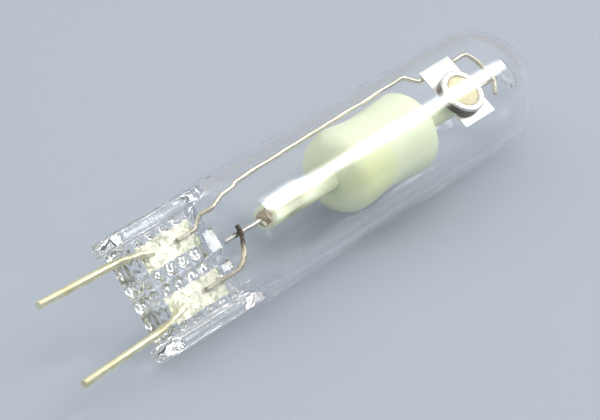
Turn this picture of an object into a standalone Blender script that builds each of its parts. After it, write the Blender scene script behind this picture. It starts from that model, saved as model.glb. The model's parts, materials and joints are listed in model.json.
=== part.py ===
"""A single-ended quartz discharge lamp with two pins and a ceramic arc tube, lying on its side.

The lamp is drawn in its own frame and then laid down: +X runs along the axis from the pinch
to the dome, Y across the two pins, Z square to the pinch, and X = 0 is the end of the glass.
"""

import math

import bmesh
import bpy
from mathutils import Vector

MM = 0.001

# How the lamp lies: turned about its own axis, on one flat of the tube
REST_ROLL = math.radians(50.0)

# Clearances
WELD_GAP = 0.05 * MM          # between two pieces that are welded to each other
GLASS_GAP = 0.1 * MM          # between the quartz and what is sealed into it
FRAME_GAP = 0.335 * MM        # between the arc tube and the far end of the long wire's straight run
TUBE_GAP = 0.395 * MM         # between that end and the wall of the outer bulb
CROWN_GAP = 1.65 * MM         # between the arc tube's far lead and the crown of the dome
ROOT_GAP = 1.75 * MM          # between the root of the bulb's hollow and the arc tube's near lead

# Arc tube
ARC_OFFSET = 0.25 * MM        # arc tube's axis from the lamp's axis, towards the long wire
BODY_LENGTH = 14.5 * MM
BODY_DIAMETER = 9.44 * MM
BODY_WAIST = 0.36 * MM        # how much thinner in radius the middle is
BODY_WALL = 0.75 * MM
BODY_END_WALL = 1.3 * MM
BODY_ROUNDING = 2.0 * MM
CAPILLARY_WALL = 0.8 * MM
CAPILLARY_EXPOSED = 10.15 * MM

# Seals, leads and electrodes in the capillaries
LEAD_DIAMETER = 0.6 * MM
LEAD_SEALED = 3.6 * MM
PIN_SIDE_LEAD_OUT = 6.45 * MM
DOME_SIDE_LEAD_OUT = 6.0 * MM
FRIT_WALL = 0.15 * MM
FRIT_DEPTH = 3.0 * MM
FRIT_BEAD_DIAMETER = 1.7 * MM
FRIT_BEAD_HEIGHT = 0.4 * MM
OVERWIND_DIAMETER = 0.2 * MM
OVERWIND_PITCH = 0.62 * MM
OVERWIND_GAP = 0.1 * MM
ELECTRODE_DIAMETER = 0.5 * MM
ELECTRODE_REACH = 3.0 * MM    # tip of the electrode past the inner end wall
TIP_COIL_WIRE = 0.2 * MM
TIP_COIL_TURNS = 4
TIP_COIL_SETBACK = 0.4 * MM

# Doses in the arc tube, each from the middle of the arc tube
MERCURY_BEAD_DIAMETER = 0.9 * MM
MERCURY_PLACE = 2.4 * MM
SALT_LENGTH = 2.6 * MM
SALT_WIDTH = 1.6 * MM
SALT_THICKNESS = 0.3 * MM
SALT_PLACE = -2.9 * MM

# Wires inside the bulb
WIRE_DIAMETER = 0.55 * MM
WIRE_LANDING = 2.8 * MM       # length welded on each foil
FRAME_LIFT_LENGTH = 2.1 * MM  # from the root of the hollow to the level of the arc tube's lead
FRAME_LIFT_SPLAY = 1.1 * MM   # outwards from the middle of the foil at that place
FRAME_FLARE_LENGTH = 4.2 * MM # from the root of the hollow to the foot of the last slant
FRAME_FLARE_INSET = 0.71 * MM # inside the far end of the straight run at that place
FRAME_SLANT_LENGTH = 6.5 * MM # from the root of the hollow to the straight run
FRAME_LEAN = 0.52 * MM        # how much nearer the lamp's axis the straight run starts than it ends
FRAME_JOG = 1.33 * MM         # how far the long wire steps inwards to carry the getter
FRAME_JOG_LENGTH = 1.85 * MM
FRAME_JOG_LEAD = 0.45 * MM    # straight run between the step and the getter's plate
FRAME_TAIL = 1.63 * MM        # past the arc tube's far lead
FRAME_BOW_SETBACK = 1.25 * MM # from the end of the far lead to the long wire that crosses it
FRAME_BOW_LENGTH = 1.95 * MM  # from the straight run up to the crossing
FRAME_BOW_INSET = 1.3 * MM    # inside the straight run, halfway up to the crossing
FRAME_BOW_DROP = 1.0 * MM     # from the crossing back to the wire's end
FRAME_BOW_REACH = 0.35 * MM   # crossing's straight stretch to either side of the lead
SHORT_WIRE_TAIL = 0.9 * MM
SHORT_WIRE_SETBACK = 1.75 * MM  # from the end of the near lead to the wire that crosses it
SHORT_WIRE_RISE = 1.5 * MM    # length of the slant between the straight run and the sweep
SHORT_WIRE_SWEEP = 1.3 * MM   # sideways at the top of that slant
SHORT_WIRE_LEAN = 0.4 * MM    # how far the crossing is out of square, to either side

# Sealing foils
FOIL_LENGTH = 7.8 * MM
FOIL_WIDTH = 3.1 * MM
FOIL_THICKNESS = 0.1 * MM
FOIL_START = 2.7 * MM
FOIL_SPACING = 5.8 * MM       # middle of one foil to the middle of the other
FOIL_LEVEL = -0.3 * MM        # foil plane below the middle of the web
FOIL_COVER = 0.6 * MM         # web beyond the inner end of the foils

# Contact pins
PIN_DIAMETER = 0.9 * MM
PIN_PITCH = 8.1 * MM          # at the end of the glass
PIN_TIP_PITCH = 8.8 * MM
PIN_EXPOSED = 11.2 * MM
PIN_SEALED = 4.3 * MM

# Outer bulb: tube, dome and exhaust tip
TUBE_WALL = 1.0 * MM
TUBE_SIDES = 36
DOME_RINGS = 8
TIP_HEIGHT = 2.2 * MM         # exhaust tip, melted shut on the crown
TIP_DIAMETER = 3.4 * MM
TIP_RIPPLE = 0.08             # how far the tip is out of round, as a share of its radius
TIP_LOBES = 3
TIP_TWIST = 5.0               # radians that the lobes turn over the tip's height
TIP_FLARE = 1.25              # width of the crown where the tip begins, as a share of the tip's
# The tip's outline, as shares of its height and of its diameter
TIP_OUTLINE = ((0.25, 0.95), (0.6, 0.8), (0.88, 0.55), (1.0, 0.2))
TIP_HOLLOW = 0.5 * MM         # dimple left inside by the exhaust tube

# Outer bulb: pinch with its two wings and the waffle that the jaws leave
PINCH_INSET = 0.4 * MM        # outer face of a wing inside the round of the tube
WEB_THICKNESS = 2.6 * MM
WING_THICKNESS = 1.6 * MM
WING_HEIGHT = 5.6 * MM
WING_ROUNDING = 0.75 * MM
SHOULDER_LENGTH = 3.0 * MM    # from the flat web up to the full tube
WING_RUNOUT = 4.4 * MM        # from the full wing into the tube's wall
SHOULDER_RINGS = 7
ROOT_WALL = 1.0 * MM          # glass along the shoulder, from the web to the hollow
ROOT_HEIGHT = 0.8 * MM
ROOT_MARGIN = 0.45 * MM
WAFFLE_PITCH = 1.85 * MM      # from pad to pad along the lamp; across it the pads fill the web's points
WAFFLE_HEIGHT = 0.35 * MM
WAFFLE_MARGIN = 0.25 * MM     # smooth border kept round each foil

# Getter on the long wire
PLATE_LENGTH = 8.0 * MM       # across the lamp
PLATE_WIDTH = 5.4 * MM        # along the lamp
PLATE_THICKNESS = 0.2 * MM
PLATE_SETBACK = 2.9 * MM      # from the end of the far capillary back to the middle of the plate
PLATE_OVERHANG = 0.75 * MM    # plate beyond the middle of the long wire
PLATE_TILT = math.radians(16.0)
CUP_DIAMETER = 5.35 * MM
CUP_HEIGHT = 1.35 * MM
CUP_RIM = 0.8 * MM
CUP_FLOOR = 0.25 * MM
CUP_SIDEWAYS = -0.65 * MM     # middle of the cup from the middle of the plate, across the lamp
CUP_ALONG = -0.6 * MM         # and along the lamp
FILL_RECESS = 0.15 * MM       # getter powder below the rim
FILL_FLAT = 0.8               # flat middle of the powder, as a share of its width

# Fineness of the round pieces
BODY_SIDES = 30
SMALL_SIDES = 20
COIL_STEPS = 8
CORNER_STEPS = 5
WAIST_STEPS = 6
BEND_STEPS = 4
BEND_SHARE = 0.45             # longest share of a straight stretch that one bend takes

# Across the lamp, from the arc tube out
WIRE_RADIUS = WIRE_DIAMETER / 2
FRAME_OFFSET = ARC_OFFSET + BODY_DIAMETER / 2 + FRAME_GAP + WIRE_RADIUS
FRAME_JOG_OFFSET = FRAME_OFFSET - FRAME_JOG
CAVITY_RADIUS = FRAME_OFFSET + WIRE_RADIUS + TUBE_GAP
TUBE_RADIUS = CAVITY_RADIUS + TUBE_WALL
PINCH_HALF_WIDTH = TUBE_RADIUS - PINCH_INSET
WEB_HALF_WIDTH = PINCH_HALF_WIDTH - WING_THICKNESS
LEAD_RADIUS = LEAD_DIAMETER / 2
BORE_RADIUS = LEAD_RADIUS + FRIT_WALL + 2 * WELD_GAP
CAPILLARY_RADIUS = BORE_RADIUS + CAPILLARY_WALL
MANDREL_RADIUS = BORE_RADIUS - OVERWIND_GAP - OVERWIND_DIAMETER - WELD_GAP
PLATE_SIDEWAYS = FRAME_JOG_OFFSET + PLATE_OVERHANG - PLATE_LENGTH / 2 * math.cos(PLATE_TILT)

# Along the lamp, from the end of the pinch to the dome
FOIL_END = FOIL_START + FOIL_LENGTH
PINCH_LENGTH = FOIL_END + FOIL_COVER
CAVITY_ROOT = PINCH_LENGTH + ROOT_WALL
NEAR_LEAD_START = CAVITY_ROOT + ROOT_GAP
BODY_HALF = BODY_LENGTH / 2
CAPILLARY_END = BODY_HALF + CAPILLARY_EXPOSED
ARC_CENTRE = NEAR_LEAD_START + PIN_SIDE_LEAD_OUT + CAPILLARY_END
FAR_LEAD_END = ARC_CENTRE + CAPILLARY_END + DOME_SIDE_LEAD_OUT
GLASS_LENGTH = FAR_LEAD_END + CROWN_GAP + TUBE_WALL
DOME_CENTRE = GLASS_LENGTH - TUBE_RADIUS
SHORT_WIRE_AT = NEAR_LEAD_START + SHORT_WIRE_SETBACK
PLATE_AT = ARC_CENTRE + CAPILLARY_END - PLATE_SETBACK
FRAME_BOW_AT = FAR_LEAD_END - FRAME_BOW_SETBACK
OVERALL_START = -PIN_EXPOSED
OVERALL_END = GLASS_LENGTH + TIP_HEIGHT

# Levels above the middle of the web
PIN_RADIUS = PIN_DIAMETER / 2
FOIL_TOP = FOIL_LEVEL + FOIL_THICKNESS / 2
PIN_LEVEL = FOIL_TOP + WELD_GAP + PIN_RADIUS
WIRE_ON_FOIL_LEVEL = FOIL_TOP + WELD_GAP + WIRE_RADIUS
WIRE_LEVEL = LEAD_RADIUS + WELD_GAP + WIRE_RADIUS

# The flat of the tube that lies on the floor
FACET_HALF_ANGLE = math.pi / TUBE_SIDES
AXIS_HEIGHT = TUBE_RADIUS * math.cos(FACET_HALF_ANGLE)
FLOOR_ANGLE = -math.pi / 2 - REST_ROLL
FLOOR_STEP = round(FLOOR_ANGLE / FACET_HALF_ANGLE)
FACET_PHASE = FLOOR_ANGLE - FLOOR_STEP * FACET_HALF_ANGLE

# Points of the pinch's section from the middle of the web to the side of a wing
WING_STEPS = 7
WEB_STEPS = TUBE_SIDES // 2 - WING_STEPS
PAD_STEPS = 4                 # points across one pad of the waffle, either way
PADS_ALONG = round(PINCH_LENGTH / WAFFLE_PITCH)
PAD_LENGTH = PINCH_LENGTH / PADS_ALONG
PAD_WIDTH = PAD_STEPS * WEB_HALF_WIDTH / WEB_STEPS

COLLECTION_NAME = "discharge_lamp"
CUTTER_COLLECTION_NAME = "cutters"


def clear_scene():
    for obj in list(bpy.data.objects):
        bpy.data.objects.remove(obj, do_unlink=True)


def new_collection(name):
    collection = bpy.data.collections.new(name)
    bpy.context.scene.collection.children.link(collection)
    return collection


def material(name, colour, roughness, metallic=0.0, transmission=0.0):
    mat = bpy.data.materials.new(name)
    mat.use_nodes = True
    shader = mat.node_tree.nodes["Principled BSDF"]
    shader.inputs["Base Color"].default_value = (*colour, 1.0)
    shader.inputs["Roughness"].default_value = roughness
    shader.inputs["Metallic"].default_value = metallic
    shader.inputs["Transmission Weight"].default_value = transmission
    mat.diffuse_color = (*colour, 1.0)
    return mat


class Lamp:
    """Holds the collections, the parents and the materials that every piece uses."""

    def __init__(self):
        self.parts = new_collection(COLLECTION_NAME)
        self.cutters = new_collection(CUTTER_COLLECTION_NAME)
        self.axis = self.empty("lamp_axis", None)
        self.axis.location = (-(OVERALL_START + OVERALL_END) / 2, 0.0, AXIS_HEIGHT)
        self.axis.rotation_euler = (REST_ROLL, 0.0, 0.0)
        self.arc_axis = self.empty("arc_tube_axis", self.axis)
        self.arc_axis.location = (ARC_CENTRE, ARC_OFFSET, 0.0)
        self.quartz = material("clear quartz", (0.93, 0.96, 0.97), 0.03, transmission=1.0)
        self.alumina = material("translucent alumina", (0.87, 0.86, 0.76), 0.3)
        self.frit = material("sealing frit", (0.62, 0.52, 0.33), 0.35)
        self.nickel = material("nickel wire", (0.72, 0.70, 0.62), 0.25, 1.0)
        self.steel = material("bright steel wire", (0.70, 0.68, 0.64), 0.2, 1.0)
        self.molybdenum = material("molybdenum foil", (0.74, 0.74, 0.70), 0.35, 1.0)
        self.niobium = material("niobium lead", (0.66, 0.65, 0.62), 0.3, 1.0)
        self.tungsten = material("tungsten", (0.45, 0.45, 0.46), 0.4, 1.0)
        self.plated = material("nickel plated strip", (0.80, 0.79, 0.75), 0.18, 1.0)
        self.powder = material("getter powder", (0.78, 0.70, 0.42), 0.9)
        self.mercury = material("mercury", (0.82, 0.82, 0.83), 0.05, 1.0)
        self.salt = material("metal halide salt", (0.60, 0.56, 0.22), 0.6)

    def empty(self, name, parent):
        obj = bpy.data.objects.new(name, None)
        obj.empty_display_size = 5 * MM
        self.parts.objects.link(obj)
        obj.parent = parent
        return obj

    def add(self, name, data, mat, parent=None):
        """A named object of the lamp, under the lamp's axis unless another parent is given."""
        obj = bpy.data.objects.new(name, data)
        self.parts.objects.link(obj)
        obj.parent = parent or self.axis
        if mat:
            data.materials.append(mat)
        return obj

    def add_cutter(self, name, mesh):
        obj = bpy.data.objects.new(name, mesh)
        self.cutters.objects.link(obj)
        obj.parent = self.axis
        obj.hide_render = True
        obj.display_type = "WIRE"
        return obj


def mesh_from_bmesh(name, bm):
    mesh = bpy.data.meshes.new(name)
    bm.to_mesh(mesh)
    bm.free()
    return mesh


def loft(name, rings):
    """A closed skin over rings that all have the same number of points."""
    bm = bmesh.new()
    loops = [[bm.verts.new(point) for point in ring] for ring in rings]
    count = len(loops[0])
    for near, far in zip(loops, loops[1:]):
        for k in range(count):
            after = (k + 1) % count
            bm.faces.new((near[k], near[after], far[after], far[k]))
    bm.faces.new(loops[0])
    bm.faces.new(loops[-1])
    bmesh.ops.recalc_face_normals(bm, faces=bm.faces)
    return mesh_from_bmesh(name, bm)


def smooth(obj, angle_degrees=35.0):
    """Shades a round piece smooth, with its true edges kept sharp."""
    obj.data.shade_smooth()
    obj.data.set_sharp_from_angle(angle=math.radians(angle_degrees))


def turned(lamp, name, profile, mat, sides, parent=None, closed=False):
    """A piece turned about the lamp's length from (radius, station) points, outer side from the dome down."""
    bm = bmesh.new()
    verts = [bm.verts.new((radius, 0.0, station)) for radius, station in profile]
    for first, second in zip(verts, verts[1:]):
        bm.edges.new((first, second))
    if closed:
        bm.edges.new((verts[-1], verts[0]))
    obj = lamp.add(name, mesh_from_bmesh(name, bm), mat, parent)
    obj.rotation_euler = (0.0, math.pi / 2, 0.0)
    screw = obj.modifiers.new("turn", "SCREW")
    screw.axis = "Z"
    screw.steps = sides
    screw.render_steps = sides
    screw.use_merge_vertices = True
    screw.merge_threshold = 0.00001
    screw.use_smooth_shade = True
    return obj


def sleeve(outer, bore, low, high):
    """Profile of a plain tube between two stations."""
    return [(outer, high), (outer, low), (bore, low), (bore, high)]


def rod(radius, low, high):
    """Profile of a plain rod between two stations."""
    return [(0.0, high), (radius, high), (radius, low), (0.0, low)]


def wire(lamp, name, points, radius, mat, parent=None, resolution=2):
    """A round wire along a run of straight stretches, with flat ends."""
    curve = bpy.data.curves.new(name, "CURVE")
    curve.dimensions = "3D"
    curve.bevel_depth = radius
    curve.bevel_resolution = resolution
    curve.use_fill_caps = True
    spline = curve.splines.new("POLY")
    spline.points.add(len(points) - 1)
    for slot, point in zip(spline.points, points):
        slot.co = (*point, 1.0)
    return lamp.add(name, curve, mat, parent)


def wire_cutter(lamp, name, points, radius, resolution=2):
    """The channel that a wire of this route leaves in the quartz, as a closed mesh."""
    curve_obj = wire(lamp, name + "_route", points, radius, None, None, resolution)
    depsgraph = bpy.context.evaluated_depsgraph_get()
    mesh = bpy.data.meshes.new_from_object(curve_obj.evaluated_get(depsgraph))
    curve = curve_obj.data
    bpy.data.objects.remove(curve_obj, do_unlink=True)
    bpy.data.curves.remove(curve)
    bm = bmesh.new()
    bm.from_mesh(mesh)
    bmesh.ops.remove_doubles(bm, verts=bm.verts, dist=0.00001)
    bmesh.ops.recalc_face_normals(bm, faces=bm.faces)
    bm.to_mesh(mesh)
    bm.free()
    mesh.name = name
    return lamp.add_cutter(name, mesh)


def rounded_route(points, bend_radius):
    """The points of a bent wire: straight stretches joined by bends of about the given radius."""
    corners = [Vector(point) for point in points]
    route = [corners[0]]
    for before, corner, after in zip(corners, corners[1:], corners[2:]):
        to_before = before - corner
        to_after = after - corner
        turn = math.pi - to_before.angle(to_after)
        reach = bend_radius * math.tan(turn / 2)
        reach = min(reach, BEND_SHARE * to_before.length, BEND_SHARE * to_after.length)
        start = corner + to_before.normalized() * reach
        end = corner + to_after.normalized() * reach
        for step in range(BEND_STEPS + 1):
            t = step / BEND_STEPS
            route.append((1 - t) ** 2 * start + 2 * t * (1 - t) * corner + t ** 2 * end)
    route.append(corners[-1])
    return route


def helix(radius, low, high, turns, steps_per_turn):
    """Points along a coil about the X axis."""
    count = round(turns * steps_per_turn)
    points = []
    for k in range(count + 1):
        angle = 2 * math.pi * k / steps_per_turn
        x = low + (high - low) * k / count
        points.append((x, radius * math.cos(angle), radius * math.sin(angle)))
    return points


def ease(value):
    """Smooth step from 0 to 1."""
    value = min(max(value, 0.0), 1.0)
    return value * value * (3 - 2 * value)


# Outer bulb

def wing_outline():
    """One wing from the web's edge round to its outer face, in the quarter with Y and Z positive."""
    inner = WEB_HALF_WIDTH
    outer = PINCH_HALF_WIDTH
    top = WING_HEIGHT / 2
    r = WING_ROUNDING
    points = []
    for centre_y, start in ((inner + r, math.pi), (outer - r, math.pi / 2)):
        for step in range(3):
            angle = start - step * math.pi / 4
            points.append((centre_y + r * math.cos(angle), top - r + r * math.sin(angle)))
    points.append((outer, 0.0))
    return points


def near_foil(x, y):
    """True over a foil and its smooth border, where the jaws leave no waffle."""
    along = FOIL_START - WAFFLE_MARGIN < x < FOIL_END - WAFFLE_MARGIN
    across = abs(abs(y) - FOIL_SPACING / 2) < FOIL_WIDTH / 2
    return along and across


def waffle(x, y):
    """How far the jaws' round pads stand up from the web, which stays smooth over the foils."""
    if near_foil(x, y):
        return 0.0
    along = math.sin(math.pi * x / PAD_LENGTH)
    across = math.sin(math.pi * y / PAD_WIDTH)
    return WAFFLE_HEIGHT * along ** 2 * across ** 2


def pinch_ring(x):
    """The I-shaped section of the pinch, as (Y, Z) points from the +Y side round through +Z."""
    quarter = []
    for k in range(WEB_STEPS):
        y = WEB_HALF_WIDTH * k / WEB_STEPS
        quarter.append((y, WEB_THICKNESS / 2 + waffle(x, y)))
    quarter.append((WEB_HALF_WIDTH, WEB_THICKNESS / 2))
    quarter += wing_outline()
    half = quarter[::-1] + [(-y, z) for y, z in quarter[1:]]
    return half + [(-y, -z) for y, z in half[1:-1]]


def is_corner(index, per_corner):
    """True where a point of a ring is a corner of the many-sided tube, false in the middle of a side."""
    return per_corner == 1 or (index - FLOOR_STEP) % 2 == 1


def tube_ring(radius, per_corner=2):
    """The round section, a polygon with one side flat on the floor, as (Y, Z) points."""
    count = TUBE_SIDES * per_corner
    phase = FACET_PHASE if per_corner == 2 else FLOOR_ANGLE + FACET_HALF_ANGLE
    points = []
    for index in range(count):
        angle = phase + 2 * math.pi * index / count
        reach = radius if is_corner(index, per_corner) else radius * math.cos(FACET_HALF_ANGLE)
        points.append((reach * math.cos(angle), reach * math.sin(angle)))
    return points


def at_station(x, ring):
    return [Vector((x, y, z)) for y, z in ring]


def bulb_rings():
    """Rings of the outer skin, from the end of the pinch over the tube and the dome to the exhaust tip."""
    rings = []
    pinch_steps = PAD_STEPS * PADS_ALONG
    for i in range(pinch_steps + 1):
        x = PINCH_LENGTH * i / pinch_steps
        rings.append(at_station(x, pinch_ring(x)))
    flat = pinch_ring(PINCH_LENGTH)
    full = tube_ring(TUBE_RADIUS)
    longest = max(SHOULDER_LENGTH, WING_RUNOUT)
    for i in range(1, SHOULDER_RINGS + 1):
        step = longest * i / SHOULDER_RINGS
        ring = []
        for (flat_y, flat_z), (full_y, full_z) in zip(flat, full):
            wing_share = ease((abs(flat_y) - WEB_HALF_WIDTH) / WING_THICKNESS)
            length = SHOULDER_LENGTH + (WING_RUNOUT - SHOULDER_LENGTH) * wing_share
            blend = ease(step / length)
            ring.append((flat_y + (full_y - flat_y) * blend, flat_z + (full_z - flat_z) * blend))
        rings.append(at_station(PINCH_LENGTH + step, ring))
    tip_radius = TIP_DIAMETER / 2
    last_angle = math.acos(TIP_FLARE * tip_radius / TUBE_RADIUS)
    for i in range(DOME_RINGS + 1):
        angle = last_angle * i / DOME_RINGS
        x = DOME_CENTRE + TUBE_RADIUS * math.sin(angle)
        rings.append(at_station(x, tube_ring(TUBE_RADIUS * math.cos(angle))))
    for height, share in TIP_OUTLINE:
        ring = []
        for index, (y, z) in enumerate(tube_ring(tip_radius * share)):
            angle = 2 * math.pi * index / (2 * TUBE_SIDES)
            swell = 1 + TIP_RIPPLE * math.sin(TIP_LOBES * angle + TIP_TWIST * height)
            ring.append((y * swell, z * swell))
        rings.append(at_station(GLASS_LENGTH + TIP_HEIGHT * height, ring))
    return rings


def cavity_rings():
    """Rings of the hollow, from the slit at the pinch to the dimple under the exhaust tip."""
    rings = []
    full = tube_ring(CAVITY_RADIUS, 1)
    for i in range(SHOULDER_RINGS + 1):
        share = i / SHOULDER_RINGS
        blend = ease(share)
        width = (WEB_HALF_WIDTH - ROOT_MARGIN) / CAVITY_RADIUS
        height = ROOT_HEIGHT / 2 / CAVITY_RADIUS
        ring = [(y * (width + (1 - width) * blend), z * (height + (1 - height) * blend)) for y, z in full]
        rings.append(at_station(CAVITY_ROOT + SHOULDER_LENGTH * share, ring))
    last_angle = math.acos(TIP_HOLLOW / CAVITY_RADIUS)
    for i in range(DOME_RINGS + 1):
        angle = last_angle * i / DOME_RINGS
        x = DOME_CENTRE + CAVITY_RADIUS * math.sin(angle)
        rings.append(at_station(x, tube_ring(CAVITY_RADIUS * math.cos(angle), 1)))
    crown = DOME_CENTRE + CAVITY_RADIUS
    rings.append(at_station(crown + TIP_HOLLOW, tube_ring(TIP_HOLLOW / 2, 1)))
    return rings


def pin_route(side):
    """A pin from its tip into the pinch, where it bends onto the middle of its foil."""
    at_glass = side * PIN_PITCH / 2
    at_tip = side * PIN_TIP_PITCH / 2
    on_foil = side * (FOIL_SPACING / 2 + PIN_RADIUS / 2)
    corners = [
        (-PIN_EXPOSED, at_tip, PIN_LEVEL),
        (PIN_RADIUS, at_glass, PIN_LEVEL),
        (PIN_SEALED, on_foil, PIN_LEVEL),
    ]
    return rounded_route(corners, 4 * PIN_DIAMETER)


def frame_route():
    """The long wire: foil, side of the arc tube, getter, and the bow over the arc tube's far lead."""
    foil_y = FOIL_SPACING / 2
    jog_end = PLATE_AT - PLATE_WIDTH / 2 - FRAME_JOG_LEAD
    corners = [
        (FOIL_END - WIRE_LANDING, foil_y, WIRE_ON_FOIL_LEVEL),
        (FOIL_END, foil_y, WIRE_ON_FOIL_LEVEL),
        (CAVITY_ROOT, foil_y + FRAME_LIFT_SPLAY, WIRE_ON_FOIL_LEVEL),
        (CAVITY_ROOT + FRAME_LIFT_LENGTH, foil_y + FRAME_LIFT_SPLAY, WIRE_LEVEL),
        (CAVITY_ROOT + FRAME_FLARE_LENGTH, FRAME_OFFSET - FRAME_FLARE_INSET, WIRE_LEVEL),
        (CAVITY_ROOT + FRAME_SLANT_LENGTH, FRAME_OFFSET - FRAME_LEAN, WIRE_LEVEL),
        (jog_end - FRAME_JOG_LENGTH, FRAME_OFFSET, WIRE_LEVEL),
        (jog_end, FRAME_JOG_OFFSET, WIRE_LEVEL),
        (PLATE_AT + PLATE_WIDTH / 2, FRAME_JOG_OFFSET, WIRE_LEVEL),
        (FRAME_BOW_AT - FRAME_BOW_LENGTH, FRAME_JOG_OFFSET, WIRE_LEVEL),
        (FRAME_BOW_AT - FRAME_BOW_LENGTH / 2, FRAME_JOG_OFFSET - FRAME_BOW_INSET, WIRE_LEVEL),
        (FRAME_BOW_AT, ARC_OFFSET + FRAME_BOW_REACH, WIRE_LEVEL),
        (FRAME_BOW_AT, ARC_OFFSET - FRAME_BOW_REACH, WIRE_LEVEL),
        (FRAME_BOW_AT - FRAME_BOW_DROP, ARC_OFFSET - FRAME_TAIL, WIRE_LEVEL),
    ]
    return rounded_route(corners, 2.5 * WIRE_DIAMETER)


def short_route():
    """The short wire: foil, out of the pinch, and across the arc tube's near lead."""
    foil_y = -FOIL_SPACING / 2
    sweep_end = SHORT_WIRE_AT - SHORT_WIRE_LEAN
    corners = [
        (FOIL_END - WIRE_LANDING, foil_y, WIRE_ON_FOIL_LEVEL),
        (CAVITY_ROOT, foil_y, WIRE_ON_FOIL_LEVEL),
        (sweep_end - SHORT_WIRE_RISE, foil_y, WIRE_LEVEL),
        (sweep_end, foil_y + SHORT_WIRE_SWEEP, WIRE_LEVEL),
        (SHORT_WIRE_AT + SHORT_WIRE_LEAN, ARC_OFFSET, WIRE_LEVEL),
        (SHORT_WIRE_AT + SHORT_WIRE_LEAN, ARC_OFFSET + SHORT_WIRE_TAIL, WIRE_LEVEL),
    ]
    return rounded_route(corners, 4 * WIRE_DIAMETER)


def sealed_stretch(route, start, end):
    """The part of a route between two stations, for the channel that it leaves in the quartz."""
    return [point for point in route if start <= point[0] <= end]


def box_mesh(name, size, centre):
    bm = bmesh.new()
    bmesh.ops.create_cube(bm, size=1.0)
    bmesh.ops.scale(bm, vec=size, verts=bm.verts)
    bmesh.ops.translate(bm, vec=centre, verts=bm.verts)
    return mesh_from_bmesh(name, bm)


def cut(obj, cutter):
    boolean = obj.modifiers.new("cut " + cutter.name, "BOOLEAN")
    boolean.operation = "DIFFERENCE"
    boolean.solver = "EXACT"
    boolean.object = cutter


def build_outer_bulb(lamp):
    bulb = lamp.add("outer_bulb", loft("outer_bulb", bulb_rings()), lamp.quartz)
    smooth(bulb)
    cut(bulb, lamp.add_cutter("bulb_hollow", loft("bulb_hollow", cavity_rings())))
    for side, number in ((1, 1), (-1, 2)):
        slot_size = (
            FOIL_LENGTH + 2 * GLASS_GAP,
            FOIL_WIDTH + 2 * GLASS_GAP,
            FOIL_THICKNESS + 2 * GLASS_GAP,
        )
        slot_centre = (FOIL_START + FOIL_LENGTH / 2, side * FOIL_SPACING / 2, FOIL_LEVEL)
        slot = box_mesh(f"foil_slot_{number}", slot_size, slot_centre)
        cut(bulb, lamp.add_cutter(f"foil_slot_{number}", slot))
        route = pin_route(side)
        direction = (route[0] - route[1]).normalized()
        beyond = (route[-1] - route[-2]).normalized()
        channel = [route[0] + direction * PIN_DIAMETER] + route[1:-1] + [route[-1] + beyond * GLASS_GAP]
        cut(bulb, wire_cutter(lamp, f"pin_hole_{number}", channel, PIN_RADIUS + GLASS_GAP, 4))
    for name, route in (("frame_wire_hole", frame_route()), ("short_wire_hole", short_route())):
        heading = (route[0] - route[1]).normalized()
        inside = sealed_stretch(route, route[0].x, CAVITY_ROOT + SHOULDER_LENGTH / 2)
        channel = [route[0] + heading * GLASS_GAP] + inside[1:]
        cut(bulb, wire_cutter(lamp, name, channel, WIRE_RADIUS + GLASS_GAP))
    return bulb


# Pins, foils and wires

def build_pins(lamp):
    for side, number in ((1, 1), (-1, 2)):
        wire(lamp, f"contact_pin_{number}", pin_route(side), PIN_RADIUS, lamp.nickel, resolution=4)


def build_foils(lamp):
    """Each foil is thickest along its middle and runs out to feathered edges, as rolled foil does."""
    for side, number in ((1, 1), (-1, 2)):
        name = f"seal_foil_{number}"
        half_width = FOIL_WIDTH / 2
        half_thickness = FOIL_THICKNESS / 2
        section = [
            (half_width, 0.0),
            (half_width / 2, half_thickness),
            (-half_width / 2, half_thickness),
            (-half_width, 0.0),
            (-half_width / 2, -half_thickness),
            (half_width / 2, -half_thickness),
        ]
        mesh = loft(name, [at_station(0.0, section), at_station(FOIL_LENGTH, section)])
        foil = lamp.add(name, mesh, lamp.molybdenum)
        foil.location = (FOIL_START, side * FOIL_SPACING / 2, FOIL_LEVEL)


def build_wires(lamp):
    wire(lamp, "frame_wire", frame_route(), WIRE_RADIUS, lamp.steel)
    wire(lamp, "short_lead_wire", short_route(), WIRE_RADIUS, lamp.steel)


# Arc tube

def body_outline(radius, half_length, rounding, mouth):
    """Half section of the arc tube's body from the dome end down: end wall, rounded corner, waisted side."""
    points = [(mouth, half_length), (radius - rounding, half_length)]
    side_half = half_length - rounding
    for step in range(1, CORNER_STEPS + 1):
        angle = math.pi / 2 * (1 - step / CORNER_STEPS)
        x = radius - rounding + rounding * math.cos(angle)
        points.append((x, side_half + rounding * math.sin(angle)))
    lower_half = [(r, -z) for r, z in points[::-1]]
    for step in range(1, WAIST_STEPS):
        z = side_half * (1 - 2 * step / WAIST_STEPS)
        waist = BODY_WAIST * math.cos(math.pi / 2 * z / side_half) ** 2
        points.append((radius - waist, z))
    return points + lower_half


def build_arc_body(lamp):
    mouth = CAPILLARY_RADIUS + WELD_GAP
    outer = body_outline(BODY_DIAMETER / 2, BODY_HALF, BODY_ROUNDING, mouth)
    inner = body_outline(
        BODY_DIAMETER / 2 - BODY_WALL,
        BODY_HALF - BODY_END_WALL,
        BODY_ROUNDING - BODY_WALL,
        mouth,
    )
    turned(lamp, "arc_tube_body", outer + inner[::-1], lamp.alumina, BODY_SIDES, lamp.arc_axis, closed=True)


def mirrored(profile, side):
    """A profile drawn for the dome side, or turned end for end for the pin side."""
    if side > 0:
        return profile
    return [(radius, -station) for radius, station in profile[::-1]]


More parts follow.
